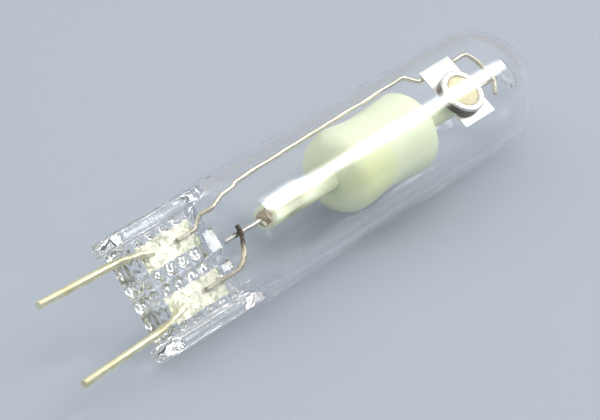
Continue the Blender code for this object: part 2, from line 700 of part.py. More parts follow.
def build_arc_end(lamp, side, end_name, lead_out):
    """Capillary, frit, lead, mandrel with its overwind, electrode and tip coil of one end of the arc tube."""
    inner_wall = BODY_HALF - BODY_END_WALL
    parent = lamp.arc_axis

    capillary = sleeve(CAPILLARY_RADIUS, BORE_RADIUS, inner_wall, CAPILLARY_END)
    turned(lamp, f"capillary_{end_name}", mirrored(capillary, side), lamp.alumina,
           SMALL_SIDES, parent, closed=True)

    lead_gap = LEAD_RADIUS + WELD_GAP
    bead_low = CAPILLARY_END + WELD_GAP
    bead_high = bead_low + FRIT_BEAD_HEIGHT
    bead_radius = FRIT_BEAD_DIAMETER / 2
    frit = [
        (lead_gap, bead_high),
        ((lead_gap + bead_radius) / 2, bead_high),
        (bead_radius, bead_low + FRIT_BEAD_HEIGHT / 2),
        (bead_radius, bead_low),
        (BORE_RADIUS - WELD_GAP, bead_low),
        (BORE_RADIUS - WELD_GAP, CAPILLARY_END - FRIT_DEPTH),
        (lead_gap, CAPILLARY_END - FRIT_DEPTH),
    ]
    turned(lamp, f"frit_seal_{end_name}", mirrored(frit, side), lamp.frit, SMALL_SIDES, parent, closed=True)

    lead_low = CAPILLARY_END - LEAD_SEALED
    lead = rod(LEAD_RADIUS, lead_low, CAPILLARY_END + lead_out)
    turned(lamp, f"niobium_lead_{end_name}", mirrored(lead, side), lamp.niobium, SMALL_SIDES, parent)

    electrode_root = inner_wall + BODY_END_WALL / 2
    mandrel_high = lead_low - WELD_GAP
    mandrel = rod(MANDREL_RADIUS, electrode_root + WELD_GAP, mandrel_high)
    turned(lamp, f"molybdenum_mandrel_{end_name}", mirrored(mandrel, side), lamp.molybdenum,
           SMALL_SIDES, parent)

    coil_radius = MANDREL_RADIUS + WELD_GAP + OVERWIND_DIAMETER / 2
    coil_low = electrode_root + WELD_GAP + OVERWIND_DIAMETER
    coil_high = mandrel_high - OVERWIND_DIAMETER
    turns = math.floor((coil_high - coil_low) / OVERWIND_PITCH)
    overwind = helix(coil_radius, side * coil_low, side * coil_high, turns, COIL_STEPS)
    wire(lamp, f"molybdenum_overwind_{end_name}", overwind, OVERWIND_DIAMETER / 2, lamp.molybdenum,
         parent, resolution=1)

    tip = inner_wall - ELECTRODE_REACH
    electrode = rod(ELECTRODE_DIAMETER / 2, tip, electrode_root)
    turned(lamp, f"electrode_{end_name}", mirrored(electrode, side), lamp.tungsten, SMALL_SIDES, parent)

    tip_coil_radius = (ELECTRODE_DIAMETER + TIP_COIL_WIRE) / 2 + WELD_GAP
    tip_coil_low = tip + TIP_COIL_SETBACK
    tip_coil_high = tip_coil_low + TIP_COIL_TURNS * (TIP_COIL_WIRE + WELD_GAP)
    tip_coil = helix(tip_coil_radius, side * tip_coil_low, side * tip_coil_high, TIP_COIL_TURNS, COIL_STEPS)
    wire(lamp, f"electrode_coil_{end_name}", tip_coil, TIP_COIL_WIRE / 2, lamp.tungsten, parent, resolution=1)


def downwards():
    """The direction of the floor in the lamp's own frame."""
    return Vector((0.0, math.cos(FLOOR_ANGLE), math.sin(FLOOR_ANGLE)))


def build_doses(lamp):
    """The mercury bead and the pool of salt, lying where the arc tube's wall is lowest."""
    inner_radius = BODY_DIAMETER / 2 - BODY_WAIST - BODY_WALL
    down = downwards()

    bm = bmesh.new()
    bmesh.ops.create_uvsphere(bm, u_segments=12, v_segments=8, radius=MERCURY_BEAD_DIAMETER / 2)
    bead = lamp.add("mercury_bead", mesh_from_bmesh("mercury_bead", bm), lamp.mercury, lamp.arc_axis)
    smooth(bead)
    depth = inner_radius - MERCURY_BEAD_DIAMETER / 2 - WELD_GAP
    bead.location = Vector((MERCURY_PLACE, 0.0, 0.0)) + down * depth

    bm = bmesh.new()
    bmesh.ops.create_uvsphere(bm, u_segments=16, v_segments=8, radius=0.5)
    bmesh.ops.scale(bm, vec=(SALT_LENGTH, SALT_WIDTH, SALT_THICKNESS), verts=bm.verts)
    for vert in bm.verts:
        bend = inner_radius - math.sqrt(inner_radius ** 2 - vert.co.y ** 2)
        vert.co.z += bend
    salt = lamp.add("halide_salt", mesh_from_bmesh("halide_salt", bm), lamp.salt, lamp.arc_axis)
    smooth(salt)
    depth = inner_radius - SALT_THICKNESS / 2 - WELD_GAP
    salt.location = Vector((SALT_PLACE, 0.0, 0.0)) + down * depth
    salt.rotation_euler = (FLOOR_ANGLE + math.pi / 2, 0.0, 0.0)


def build_arc_tube(lamp):
    build_arc_body(lamp)
    build_arc_end(lamp, -1, "pin_side", PIN_SIDE_LEAD_OUT)
    build_arc_end(lamp, 1, "dome_side", DOME_SIDE_LEAD_OUT)
    build_doses(lamp)


# Getter

def build_getter(lamp):
    """The plate leans on the long wire, and the cup of getter powder stands on its open side."""
    lean = (WIRE_RADIUS + WELD_GAP + PLATE_THICKNESS / 2) / math.cos(PLATE_TILT)
    rise = (FRAME_JOG_OFFSET - PLATE_SIDEWAYS) * math.tan(PLATE_TILT)
    seat = lamp.empty("getter_seat", lamp.axis)
    seat.location = (PLATE_AT, PLATE_SIDEWAYS, WIRE_LEVEL + lean + rise)
    seat.rotation_euler = (-PLATE_TILT, 0.0, 0.0)

    plate_mesh = box_mesh("getter_plate", (PLATE_WIDTH, PLATE_LENGTH, PLATE_THICKNESS), (0.0, 0.0, 0.0))
    plate = lamp.add("getter_plate", plate_mesh, lamp.plated, seat)
    bevel = plate.modifiers.new("sheared edges", "BEVEL")
    bevel.width = PLATE_THICKNESS / 4
    bevel.segments = 1

    base = PLATE_THICKNESS / 2 + WELD_GAP
    outer = CUP_DIAMETER / 2
    inner = outer - CUP_RIM
    top = base + CUP_HEIGHT
    edge = CUP_RIM / 3
    profile = [(0.0, base + CUP_FLOOR), (inner, base + CUP_FLOOR), (inner, top - edge), (inner + edge, top),
               (outer - edge, top), (outer, top - edge), (outer, base + edge), (outer - edge, base),
               (0.0, base)]
    cup = turned(lamp, "getter_cup", profile, lamp.plated, BODY_SIDES, seat)
    cup.rotation_euler = (0.0, 0.0, 0.0)
    cup.location = (CUP_ALONG, CUP_SIDEWAYS, 0.0)

    fill_low = base + CUP_FLOOR + WELD_GAP
    fill_high = top - FILL_RECESS
    fill_radius = inner - WELD_GAP
    fill_profile = [(0.0, fill_high), (fill_radius * FILL_FLAT, fill_high), (fill_radius, fill_high - edge),
                    (fill_radius, fill_low), (0.0, fill_low)]
    fill = turned(lamp, "getter_fill", fill_profile, lamp.powder, BODY_SIDES, seat)
    fill.rotation_euler = (0.0, 0.0, 0.0)
    fill.location = (CUP_ALONG, CUP_SIDEWAYS, 0.0)


def main():
    clear_scene()
    lamp = Lamp()
    build_outer_bulb(lamp)
    build_pins(lamp)
    build_foils(lamp)
    build_wires(lamp)
    build_arc_tube(lamp)
    build_getter(lamp)


main()
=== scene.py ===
"""Dresses a single-ended discharge lamp: quartz bulb, ceramic arc tube, leads, foils, pins and getter.

Every piece is drawn in the lamp's own frame, in millimetres: X runs along the lamp from the end of the
pinch to the dome, Y across the two pins and Z square to the pinch. LampAxis lays it down on the floor.
"""

import json
import logging
import math
from dataclasses import dataclass, field, replace
from enum import Enum

import bmesh
import bpy
import numpy as np
from mathutils import Matrix, Vector, noise

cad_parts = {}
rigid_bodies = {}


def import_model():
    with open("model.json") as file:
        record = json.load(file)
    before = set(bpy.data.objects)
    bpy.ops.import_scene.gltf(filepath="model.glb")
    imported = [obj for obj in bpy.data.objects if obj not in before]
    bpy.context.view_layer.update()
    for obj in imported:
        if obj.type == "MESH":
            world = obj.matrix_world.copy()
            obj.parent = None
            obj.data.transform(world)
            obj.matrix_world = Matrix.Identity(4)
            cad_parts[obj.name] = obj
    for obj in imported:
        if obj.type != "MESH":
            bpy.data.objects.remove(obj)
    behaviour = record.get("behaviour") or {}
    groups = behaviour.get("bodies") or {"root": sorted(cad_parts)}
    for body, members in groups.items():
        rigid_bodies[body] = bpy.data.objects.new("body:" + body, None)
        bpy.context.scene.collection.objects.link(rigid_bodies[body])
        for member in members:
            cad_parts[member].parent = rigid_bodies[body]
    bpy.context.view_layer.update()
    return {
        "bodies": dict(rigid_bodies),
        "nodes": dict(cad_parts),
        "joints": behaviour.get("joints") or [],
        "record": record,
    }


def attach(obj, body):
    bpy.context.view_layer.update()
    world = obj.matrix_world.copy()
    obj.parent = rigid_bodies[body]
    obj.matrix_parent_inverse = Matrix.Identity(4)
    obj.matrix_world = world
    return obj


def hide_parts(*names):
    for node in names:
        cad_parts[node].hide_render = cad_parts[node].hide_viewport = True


LOG = logging.getLogger("discharge_lamp")
MM = 0.001

Colour = tuple[float, float, float]
Point = tuple[float, float, float]
Span = tuple[float, float]
Outline = list[tuple[float, float]]
Mesh = bmesh.types.BMesh
Socket = bpy.types.NodeSocket
Tree = bpy.types.NodeTree


class End(Enum):
    """The two ends of the arc tube."""

    PIN = -1
    DOME = 1

    @property
    def label(self) -> str:
        """The words that end the names of this end's nodes."""
        return "pin_side" if self is End.PIN else "dome_side"


class Side(Enum):
    """The two sides of the pinch, each with a pin, a foil and a wire."""

    FIRST = 1
    SECOND = -1

    @property
    def number(self) -> int:
        """The number that ends the names of this side's nodes."""
        return 1 if self is Side.FIRST else 2


@dataclass(frozen=True)
class LampAxis:
    """Where the lamp's own frame lies in the row frame."""

    end_of_glass: float = -27.375
    height: float = 7.2224
    roll: float = math.radians(50.0)

    def matrix(self) -> Matrix:
        """Turns a point in the lamp's frame, in millimetres, into a place in metres."""
        shift = Matrix.Translation((self.end_of_glass, 0.0, self.height))
        return Matrix.Scale(MM, 4) @ shift @ Matrix.Rotation(self.roll, 4, "X")


AXIS = LampAxis()


# Nodes


class Sheet:
    """Adds nodes to the tree of a material or a group, and joins them."""

    def __init__(self, tree: Tree) -> None:
        """Keeps the tree that the nodes go into."""
        self.tree = tree

    def add(self, kind: str, inputs: dict | None = None, **settings: object) -> bpy.types.Node:
        """Adds one node.

        Args:
            kind: The node's type, without the words ShaderNode in front.
            inputs: A value or another node's socket for each input, by name or index.
            settings: The node's own settings.

        Returns:
            The new node.
        """
        node = self.tree.nodes.new("ShaderNode" + kind)
        for name, value in settings.items():
            setattr(node, name, value)
        for name, value in (inputs or {}).items():
            self.feed(node.inputs[name], value)
        return node

    def feed(self, socket: Socket, value: object) -> None:
        """Links a socket to another, or writes a plain value on it.

        Args:
            socket: The input.
            value: A socket, a number, a colour or a vector.
        """
        if isinstance(value, bpy.types.NodeSocket):
            self.tree.links.new(value, socket)
        elif socket.type == "RGBA" and len(value) == 3:
            socket.default_value = (*value, 1.0)
        else:
            socket.default_value = value

    def math(self, operation: str, first: object, second: object = 0.0) -> Socket:
        """Adds a Math node for two values or sockets, and returns its result."""
        return self.add("Math", {0: first, 1: second}, operation=operation).outputs[0]

    def times(self, first: object, second: object) -> Socket:
        """The product of two values or sockets."""
        return self.math("MULTIPLY", first, second)

    def mix(self, factor: object, first: object, second: object) -> Socket:
        """Mixes two colours or sockets, with factor as the share of the second."""
        return self.add("Mix", {0: factor, 6: first, 7: second}, data_type="RGBA").outputs[2]

    def ramp(
        self, value: object, low: object, high: object, to_low: float = 0.0, to_high: float = 1.0
    ) -> Socket:
        """Maps the values from low to high onto those from to_low to to_high, with soft ends."""
        inputs = {"Value": value, "From Min": low, "From Max": high, "To Min": to_low, "To Max": to_high}
        return self.add("MapRange", inputs, interpolation_type="SMOOTHSTEP").outputs[0]

    def vector(self, operation: str, first: object, second: object, output: int | str = 0) -> Socket:
        """Adds a Vector Math node for two vectors or sockets, and returns one of its results."""
        return self.add("VectorMath", {0: first, 1: second}, operation=operation).outputs[output]

    def noise(self, place: Socket, scale: float, detail: float, **more: float) -> Socket:
        """The value of a noise texture, with more of its inputs by name."""
        return self.add("TexNoise", {"Vector": place, "Scale": scale, "Detail": detail, **more}).outputs[0]

    def bump(self, height: Socket, strength: float, reach: float) -> Socket:
        """The normal of a Bump node whose reach is in millimetres."""
        return self.add("Bump", {"Height": height, "Strength": strength, "Distance": reach * MM}).outputs[0]

    def shader(self, colour: object, roughness: object, normal: Socket, more: dict | None = None) -> Socket:
        """Adds the material's Principled shader, with more of its inputs by name, and returns its output."""
        inputs = {"Base Color": colour, "Roughness": roughness, "Normal": normal, **(more or {})}
        return self.add("BsdfPrincipled", inputs).outputs[0]

    def place(self) -> Socket:
        """The point in the lamp's own frame, in millimetres."""
        return self.add("Mapping", {
            "Vector": self.add("TexCoord").outputs["Object"],
            "Location": AXIS.matrix().inverted().to_translation(),
            "Rotation": (-AXIS.roll, 0.0, 0.0),
            "Scale": (1 / MM, 1 / MM, 1 / MM),
        }).outputs[0]


def new_group(name: str, inputs: dict[str, str], output: str) -> tuple[Sheet, list[Socket], Socket]:
    """Starts a node group.

    Args:
        name: The group's name.
        inputs: The type of each input socket, by name.
        output: The name of the one value that the group puts out.

    Returns:
        The group's sheet, the sockets that bring its inputs, and the one that takes its output.
    """
    tree = bpy.data.node_groups.new(name, "ShaderNodeTree")
    for socket, kind in inputs.items():
        tree.interface.new_socket(socket, in_out="INPUT", socket_type="NodeSocket" + kind)
    tree.interface.new_socket(output, in_out="OUTPUT", socket_type="NodeSocketFloat")
    entry = tree.nodes.new("NodeGroupInput")
    result = tree.nodes.new("NodeGroupOutput")
    return Sheet(tree), [entry.outputs[socket] for socket in inputs], result.inputs[0]


@dataclass(frozen=True)
class Spot:
    """A soft round spot on a piece, such as the tint that heating leaves at a weld."""

    centre: Point
    radius: float


@dataclass
class Effects:
    """The node groups that more than one finish uses, and how a sheet places them."""

    streaks: Tree = field(init=False)
    patches: Tree = field(init=False)
    spots: Tree = field(init=False)

    def __post_init__(self) -> None:
        """Builds the groups."""
        self.streaks = self.build_streaks()
        self.patches = self.build_patches()
        self.spots = self.build_spots()

    def build_streaks(self) -> Tree:
        """Fine lines along the lamp, as a drawing die leaves on wire.

        Returns:
            The group.
        """
        sheet, (place, along, across), result = new_group(
            "drawn_streaks", {"Place": "Vector", "Along": "Float", "Across": "Float"}, "Streak"
        )
        stretch = sheet.add("CombineXYZ", {"X": along, "Y": across, "Z": across}).outputs[0]
        lines = sheet.noise(sheet.vector("MULTIPLY", place, stretch), 1.0, 3.0, Roughness=0.6)
        sheet.feed(result, sheet.ramp(lines, 0.3, 0.7))
        return sheet.tree

    def build_patches(self) -> Tree:
        """Cloudy patches, as tarnish, film and handling leave.

        Returns:
            The group.
        """
        sheet, (place, size, low, high), result = new_group(
            "cloudy_patches", {"Place": "Vector", "Size": "Float", "Low": "Float", "High": "Float"}, "Patch"
        )
        inputs = {0: place, "Scale": sheet.math("DIVIDE", 1.0, size)}
        point = sheet.add("VectorMath", inputs, operation="SCALE").outputs[0]
        sheet.feed(result, sheet.ramp(sheet.noise(point, 1.0, 4.0, Roughness=0.55), low, high))
        return sheet.tree

    def build_spots(self) -> Tree:
        """A soft round spot, as the heating of a weld leaves.

        Returns:
            The group.
        """
        sheet, (place, centre, radius), result = new_group(
            "heat_spot", {"Place": "Vector", "Centre": "Vector", "Radius": "Float"}, "Spot"
        )
        share = sheet.math("DIVIDE", sheet.vector("DISTANCE", place, centre, "Value"), radius)
        sheet.feed(result, sheet.ramp(share, 0.35, 1.0, 1.0, 0.0))
        return sheet.tree

    def streak(self, sheet: Sheet, place: Socket, along: float, across: float) -> Socket:
        """Places the fine lines on a sheet."""
        inputs = {"Place": place, "Along": along, "Across": across}
        return sheet.add("Group", inputs, node_tree=self.streaks).outputs[0]

    def patch(self, sheet: Sheet, place: Socket, size: float, low: float, high: float) -> Socket:
        """Places the cloudy patches on a sheet."""
        inputs = {"Place": place, "Size": size, "Low": low, "High": high}
        return sheet.add("Group", inputs, node_tree=self.patches).outputs[0]

    def spot(self, sheet: Sheet, place: Socket, spot: Spot) -> Socket:
        """Places a spot on a sheet."""
        inputs = {"Place": place, "Centre": spot.centre, "Radius": spot.radius}
        return sheet.add("Group", inputs, node_tree=self.spots).outputs[0]


# Finishes


@dataclass(frozen=True)
class Finish:
    """A finish that a material is made from."""

    name: str
    slot: str

    def make(self, effects: Effects) -> bpy.types.Material:
        """Makes the material.

        Args:
            effects: The shared node groups.

        Returns:
            The material.
        """
        material = bpy.data.materials.new(self.name)
        material.use_nodes = True
        material.node_tree.nodes.clear()
        sheet = Sheet(material.node_tree)
        sheet.add("OutputMaterial", {"Surface": self.surface(sheet, effects)})
        return material

    def surface(self, sheet: Sheet, effects: Effects) -> Socket:
        """Adds the finish's own nodes to the material's sheet, and returns the shader's output."""
        raise NotImplementedError


@dataclass(frozen=True)
class Quartz(Finish):
    """Clear fused quartz, drawn smooth on the tube and rippled where the flame and the jaws worked it."""

    name: str = "clear_fused_quartz"
    slot: str = "quartz"
    tint: Colour = (0.985, 0.992, 0.996)
    index: float = 1.458
    wave_height: float = 0.048
    ripple_height: float = 0.02
    film_roughness: float = 0.02
    worked_pinch: Span = (11.0, 13.5)
    worked_tip: Span = (61.0, 63.0)
    most_reflections: float = 3.5
    shadow_tint: Colour = (0.97, 0.975, 0.98)
    rim_tint: Colour = (0.42, 0.43, 0.45)
    rim_range: Span = (0.55, 1.0)

    def surface(self, sheet: Sheet, effects: Effects) -> Socket:
        """Glass that lets the lamps' light through, with a darker shadow under its rims.

        Light that has been caught between the walls for long leaves the glass too, where it would turn black.

        Args:
            sheet: The material's sheet.
            effects: The shared node groups.

        Returns:
            The shader's output.
        """
        place = sheet.place()
        along = sheet.add("SeparateXYZ", {0: place}).outputs["X"]
        at_pinch = sheet.ramp(along, *self.worked_pinch, 1.0, 0.0)
        at_tip = sheet.ramp(along, *self.worked_tip)
        worked = sheet.math("MAXIMUM", at_pinch, at_tip)
        wave = sheet.times(sheet.noise(place, scale=0.16, detail=1.0), self.wave_height)
        ripple = sheet.times(sheet.noise(place, scale=1.1, detail=2.0, Distortion=0.6), worked)
        height = sheet.math("ADD", wave, sheet.times(ripple, self.ripple_height))
        bump = sheet.bump(height, strength=1.0, reach=1.0)
        film = sheet.times(effects.patch(sheet, place, size=9.0, low=0.5, high=0.8), self.film_roughness)
        glass = sheet.shader(self.tint, film, bump, {"IOR": self.index, "Transmission Weight": 1.0})
        facing = sheet.add("LayerWeight", {"Blend": 0.5}).outputs["Facing"]
        shade = sheet.mix(sheet.ramp(facing, *self.rim_range), self.shadow_tint, self.rim_tint)
        clear = sheet.add("BsdfTransparent", {"Color": shade}).outputs[0]
        path = sheet.add("LightPath").outputs
        caught = sheet.math("GREATER_THAN", path["Glossy Depth"], self.most_reflections)
        through = sheet.math("MAXIMUM", path["Is Shadow Ray"], caught)
        return sheet.add("MixShader", {0: through, 1: glass, 2: clear}).outputs[0]


@dataclass(frozen=True)
class Ceramic(Finish):
    """Sintered alumina: milky, a little see-through, glazed by the firing, with salt films inside."""

    name: str = "translucent_alumina"
    slot: str = "alumina"
    colour: Colour = (0.90, 1.0, 0.68)
    film: Colour = (0.84, 0.90, 0.46)
    stain: Colour = (0.33, 0.27, 0.13)
    film_spot: Spot = Spot((33.6, -1.6, 3.6), 4.6)
    stain_spot: Spot = Spot((23.6, 0.25, 0.0), 3.2)
    film_strength: Span = (0.45, 0.55)
    stain_strength: Span = (0.5, 0.35)
    gloss: Span = (0.26, 0.36)

    def surface(self, sheet: Sheet, effects: Effects) -> Socket:
        """Milky ceramic with a yellow film near the dose and a brown stain in the near capillary.

        Args:
            sheet: The material's sheet.
            effects: The shared node groups.

        Returns:
            The shader's output.
        """
        place = sheet.place()
        grain = sheet.noise(place, scale=9.0, detail=3.0)
        cloud = effects.patch(sheet, place, size=2.6, low=0.3, high=0.75)
        colour = self.colour
        for tint, spot, (clouded, even) in (
            (self.film, self.film_spot, self.film_strength),
            (self.stain, self.stain_spot, self.stain_strength),
        ):
            strength = sheet.math("ADD", even, sheet.times(cloud, clouded))
            colour = sheet.mix(sheet.times(effects.spot(sheet, place, spot), strength), colour, tint)
        bump = sheet.bump(grain, strength=0.25, reach=0.02)
        return sheet.shader(colour, sheet.ramp(grain, 0.3, 0.7, *self.gloss), bump, {
            "IOR": 1.76,
            "Subsurface Weight": 0.4,
            "Subsurface Radius": (1.0, 1.0, 0.8),
            "Subsurface Scale": 1.0 * MM,
        })


@dataclass(frozen=True)
class Plane:
    """A plane under which a metal piece gets painted shade, with the height over which the painted shade
    fades in.
    """

    normal: Point
    level: float
    fade: float
    darkness: float = 0.9


@dataclass(frozen=True)
class Metal(Finish):
    """Bare metal with drawing lines, cloudy tarnish, welds tinted by heating, and painted shade under a plane
    where one is given.
    """

    colour: Colour
    tarnish: Colour
    tarnish_share: float
    smooth: float
    rough: float
    patch_size: float
    line_height: float = 0.01
    tarnish_roughness: float = 0.12
    # Dark colour of the welds' tint, also used for the painted shade under a plane.
    heat: Colour = (0.10, 0.07, 0.04)
    spots: tuple[Spot, ...] = ()
    below: Plane | None = None

    def surface(self, sheet: Sheet, effects: Effects) -> Socket:
        """Metal whose colour and gloss change over the piece.

        Args:
            sheet: The material's sheet.
            effects: The shared node groups.

        Returns:
            The shader's output.
        """
        place = sheet.place()
        lines = effects.streak(sheet, place, along=0.35, across=9.0)
        patch = effects.patch(sheet, place, size=self.patch_size, low=0.42, high=0.72)
        colour = sheet.mix(sheet.times(patch, self.tarnish_share), self.colour, self.tarnish)
        masks = [effects.spot(sheet, place, spot) for spot in self.spots]
        # Painted shade: the piece darkens under the plane, toward the dark colour of the welds.
        if self.below:
            level = sheet.vector("DOT_PRODUCT", place, self.below.normal, "Value")
            top = self.below.level
            masks.append(sheet.ramp(level, top - self.below.fade, top, self.below.darkness, 0.0))
        for mask in masks:
            colour = sheet.mix(mask, colour, self.heat)
        drawn = sheet.ramp(lines, 0.0, 1.0, self.smooth, self.rough)
        roughness = sheet.math("ADD", drawn, sheet.times(patch, self.tarnish_roughness))
        bump = sheet.bump(lines, strength=0.5, reach=self.line_height)
        return sheet.shader(colour, roughness, bump, {"Metallic": 1.0})


@dataclass(frozen=True)
class Foil(Finish):
    """Etched molybdenum foil in glass: silvery, creased, and mottled where the quartz wets it."""

    name: str = "etched_foil"
    slot: str = "molybdenum"
    colour: Colour = (0.86, 0.85, 0.70)
    mottle: Colour = (0.40, 0.46, 0.33)
    speck: Colour = (0.52, 0.38, 0.12)
    mottle_share: float = 0.75
    gloss: Span = (0.42, 0.6)

    def surface(self, sheet: Sheet, effects: Effects) -> Socket:
        """Creased foil with greenish mottling and a few yellow specks.

        Args:
            sheet: The material's sheet.
            effects: The shared node groups.

        Returns:
            The shader's output.
        """
        place = sheet.place()
        mottle = effects.patch(sheet, place, size=0.7, low=0.46, high=0.64)
        specks = effects.patch(sheet, place, size=0.28, low=0.62, high=0.68)
        crease = sheet.add("TexVoronoi", {"Vector": place, "Scale": 1.6}, feature="F2").outputs["Distance"]
        colour = sheet.mix(sheet.times(mottle, self.mottle_share), self.colour, self.mottle)
        colour = sheet.mix(specks, colour, self.speck)
        roughness = sheet.ramp(mottle, 0.0, 1.0, *self.gloss)
        bump = sheet.bump(crease, strength=0.5, reach=0.06)
        return sheet.shader(colour, roughness, bump, {"Metallic": 0.6})


@dataclass(frozen=True)
class Grainy(Finish):
    """A dull, grainy or glazed solid such as pressed powder, frozen salt or frit."""

    colour: Colour
    shade: Colour
    grain_size: float
    grain_height: float
    smooth: float
    rough: float

    def surface(self, sheet: Sheet, effects: Effects) -> Socket:
        """Grains with darker pits between them.

        Args:
            sheet: The material's sheet.
            effects: The shared node groups.

        Returns:
            The shader's output.
        """
        place = sheet.place()
        grain = effects.patch(sheet, place, size=self.grain_size, low=0.3, high=0.62)
        cloud = effects.patch(sheet, place, size=5 * self.grain_size, low=0.4, high=0.7)
        pits = sheet.math("SUBTRACT", 1.0, sheet.times(grain, sheet.ramp(cloud, 0.0, 1.0, 0.7, 1.0)))
        roughness = sheet.ramp(grain, 0.0, 1.0, self.rough, self.smooth)
        bump = sheet.bump(grain, strength=1.0, reach=self.grain_height)
        return sheet.shader(sheet.mix(pits, self.colour, self.shade), roughness, bump)


# Mesh helpers


def ease(value: np.ndarray | float) -> np.ndarray | float:
    """Smooth step from 0 to 1 for values between 0 and 1."""
    value = np.clip(value, 0.0, 1.0)
    return value * value * (3 - 2 * value)


def shoulder(turn: float) -> tuple[float, float]:
    """The shares of a shoulder's length and height, from its filleted foot at 0 to its round top at 1."""
    angle = math.pi / 2 * turn
    return 1 - math.cos(angle), math.sin(angle) * float(ease(angle / 0.5))


def turned(outline: Outline, steps: int, closed: bool = False) -> Mesh:
    """Spins a half section about the X axis.

    Args:
        outline: Points as (radius, station).
        steps: The number of sides.
        closed: True joins the last point to the first, for a section that stays off the axis.

    Returns:
        The turned solid.
    """
    bm = bmesh.new()
    verts = [bm.verts.new((station, radius, 0.0)) for radius, station in outline]
    edges = [bm.edges.new(pair) for pair in zip(verts, verts[1:])]
    if closed:
        edges.append(bm.edges.new((verts[-1], verts[0])))
    bmesh.ops.spin(bm, geom=verts + edges, cent=(0, 0, 0), axis=(1, 0, 0), angle=2 * math.pi,
                   steps=steps, use_merge=True, use_duplicate=False)
    bmesh.ops.remove_doubles(bm, verts=bm.verts, dist=0.0005)
    bmesh.ops.recalc_face_normals(bm, faces=bm.faces)
    return bm


def rounded(corners: list[tuple], radius: float, steps: int = 4, wire: bool = False) -> list[tuple]:
    """Rounds the inner corners of an open line.

    Args:
        corners: The line's corner points, in a plane or in space.
        radius: How far from each corner its rounding reaches, or the radius of a wire's bends.
        steps: Points along each rounding.
        wire: True bends a wire instead of rounding a section.

    Returns:
        The line with rounded corners.
    """
    points = [Vector(point) for point in corners]
    result = [points[0]]
    most = 0.45 if wire else 0.48
    for before, corner, after in zip(points, points[1:], points[2:]):
        back, ahead = before - corner, after - corner
        wanted = radius * math.tan((math.pi - back.angle(ahead)) / 2) if wire else radius
        reach = min(wanted, most * back.length, most * ahead.length)
        start, end = corner + back.normalized() * reach, corner + ahead.normalized() * reach
        for step in range(steps + 1):
            t = step / steps
            result.append((1 - t) ** 2 * start + 2 * t * (1 - t) * corner + t ** 2 * end)
    return [tuple(point) for point in (*result, points[-1])]


def swept(route: list[Point], radius: float, sides: int, rounding: float) -> Mesh:
    """Carries a circle along a route, as a wire, with its two ends rounded off.

    Args:
        route: Points of the wire's middle line.
        radius: The wire's radius.
        sides: The number of sides.
        rounding: Radius of the rounding at the rims of the two ends.

    Returns:
        The wire.
    """
    points = [Vector(point) for point in route]
    headings = [(after - before).normalized() for before, after in zip(points, points[1:])]
    headings = [headings[0]] + [(a + b).normalized() for a, b in zip(headings, headings[1:])] + [headings[-1]]
    turn = Vector((0, 0, 1)).rotation_difference(headings[0])
    bm = bmesh.new()
    frame = Matrix.Translation(points[0]) @ turn.to_matrix().to_4x4()
    ring = bmesh.ops.create_circle(bm, segments=sides, radius=radius, matrix=frame)["verts"]
    edges = list({edge for vert in ring for edge in vert.link_edges})
    rims = [edges]
    for before, after, heading_before, heading in zip(points, points[1:], headings, headings[1:]):
        grown = bmesh.ops.extrude_edge_only(bm, edges=edges)["geom"]
        verts = [item for item in grown if isinstance(item, bmesh.types.BMVert)]
        edges = [item for item in grown if isinstance(item, bmesh.types.BMEdge)]
        swing = heading_before.rotation_difference(heading).to_matrix().to_4x4()
        move = Matrix.Translation(after) @ swing @ Matrix.Translation(-before)
        bmesh.ops.transform(bm, matrix=move, verts=verts)
    rims.append(edges)
    for rim in rims:
        bmesh.ops.contextual_create(bm, geom=rim)
    bmesh.ops.bevel(bm, geom=[edge for rim in rims for edge in rim], offset=rounding, offset_type="OFFSET",
                    affect="EDGES", segments=3, profile=0.5, material=-1)
    bmesh.ops.recalc_face_normals(bm, faces=bm.faces)
    return bm


def skin(rings: list[tuple[float | np.ndarray, np.ndarray]]) -> Mesh:
    """Rolls a grid into a tube through a row of rings, and closes its two ends.

    Args:
        rings: Each ring's station, or one station for each point, and its (y, z) points.

    Returns:
        The tube, facing out.
    """
    last, around = len(rings) - 1, len(rings[0][1])
    bm = bmesh.new()
    bmesh.ops.create_grid(bm, x_segments=last, y_segments=around, size=0.5)
    rows = [np.column_stack((np.broadcast_to(station, around), ring)) for station, ring in rings]
    for vert in bm.verts:
        row = rows[round((vert.co.x + 0.5) * last)]
        vert.co = row[round((vert.co.y + 0.5) * around) % around]
    bmesh.ops.remove_doubles(bm, verts=bm.verts, dist=0.0001)
    bmesh.ops.holes_fill(bm, edges=[edge for edge in bm.edges if edge.is_boundary], sides=0)
    bmesh.ops.recalc_face_normals(bm, faces=bm.faces)
    return bm


def join(target: Mesh, other: Mesh) -> None:
    """Adds another mesh to a mesh.

    Args:
        target: The mesh that grows.
        other: The mesh that is added, and freed.
    """
    mesh = bpy.data.meshes.new("joined")
    other.to_mesh(mesh)
    other.free()
    target.from_mesh(mesh)
    bpy.data.meshes.remove(mesh)


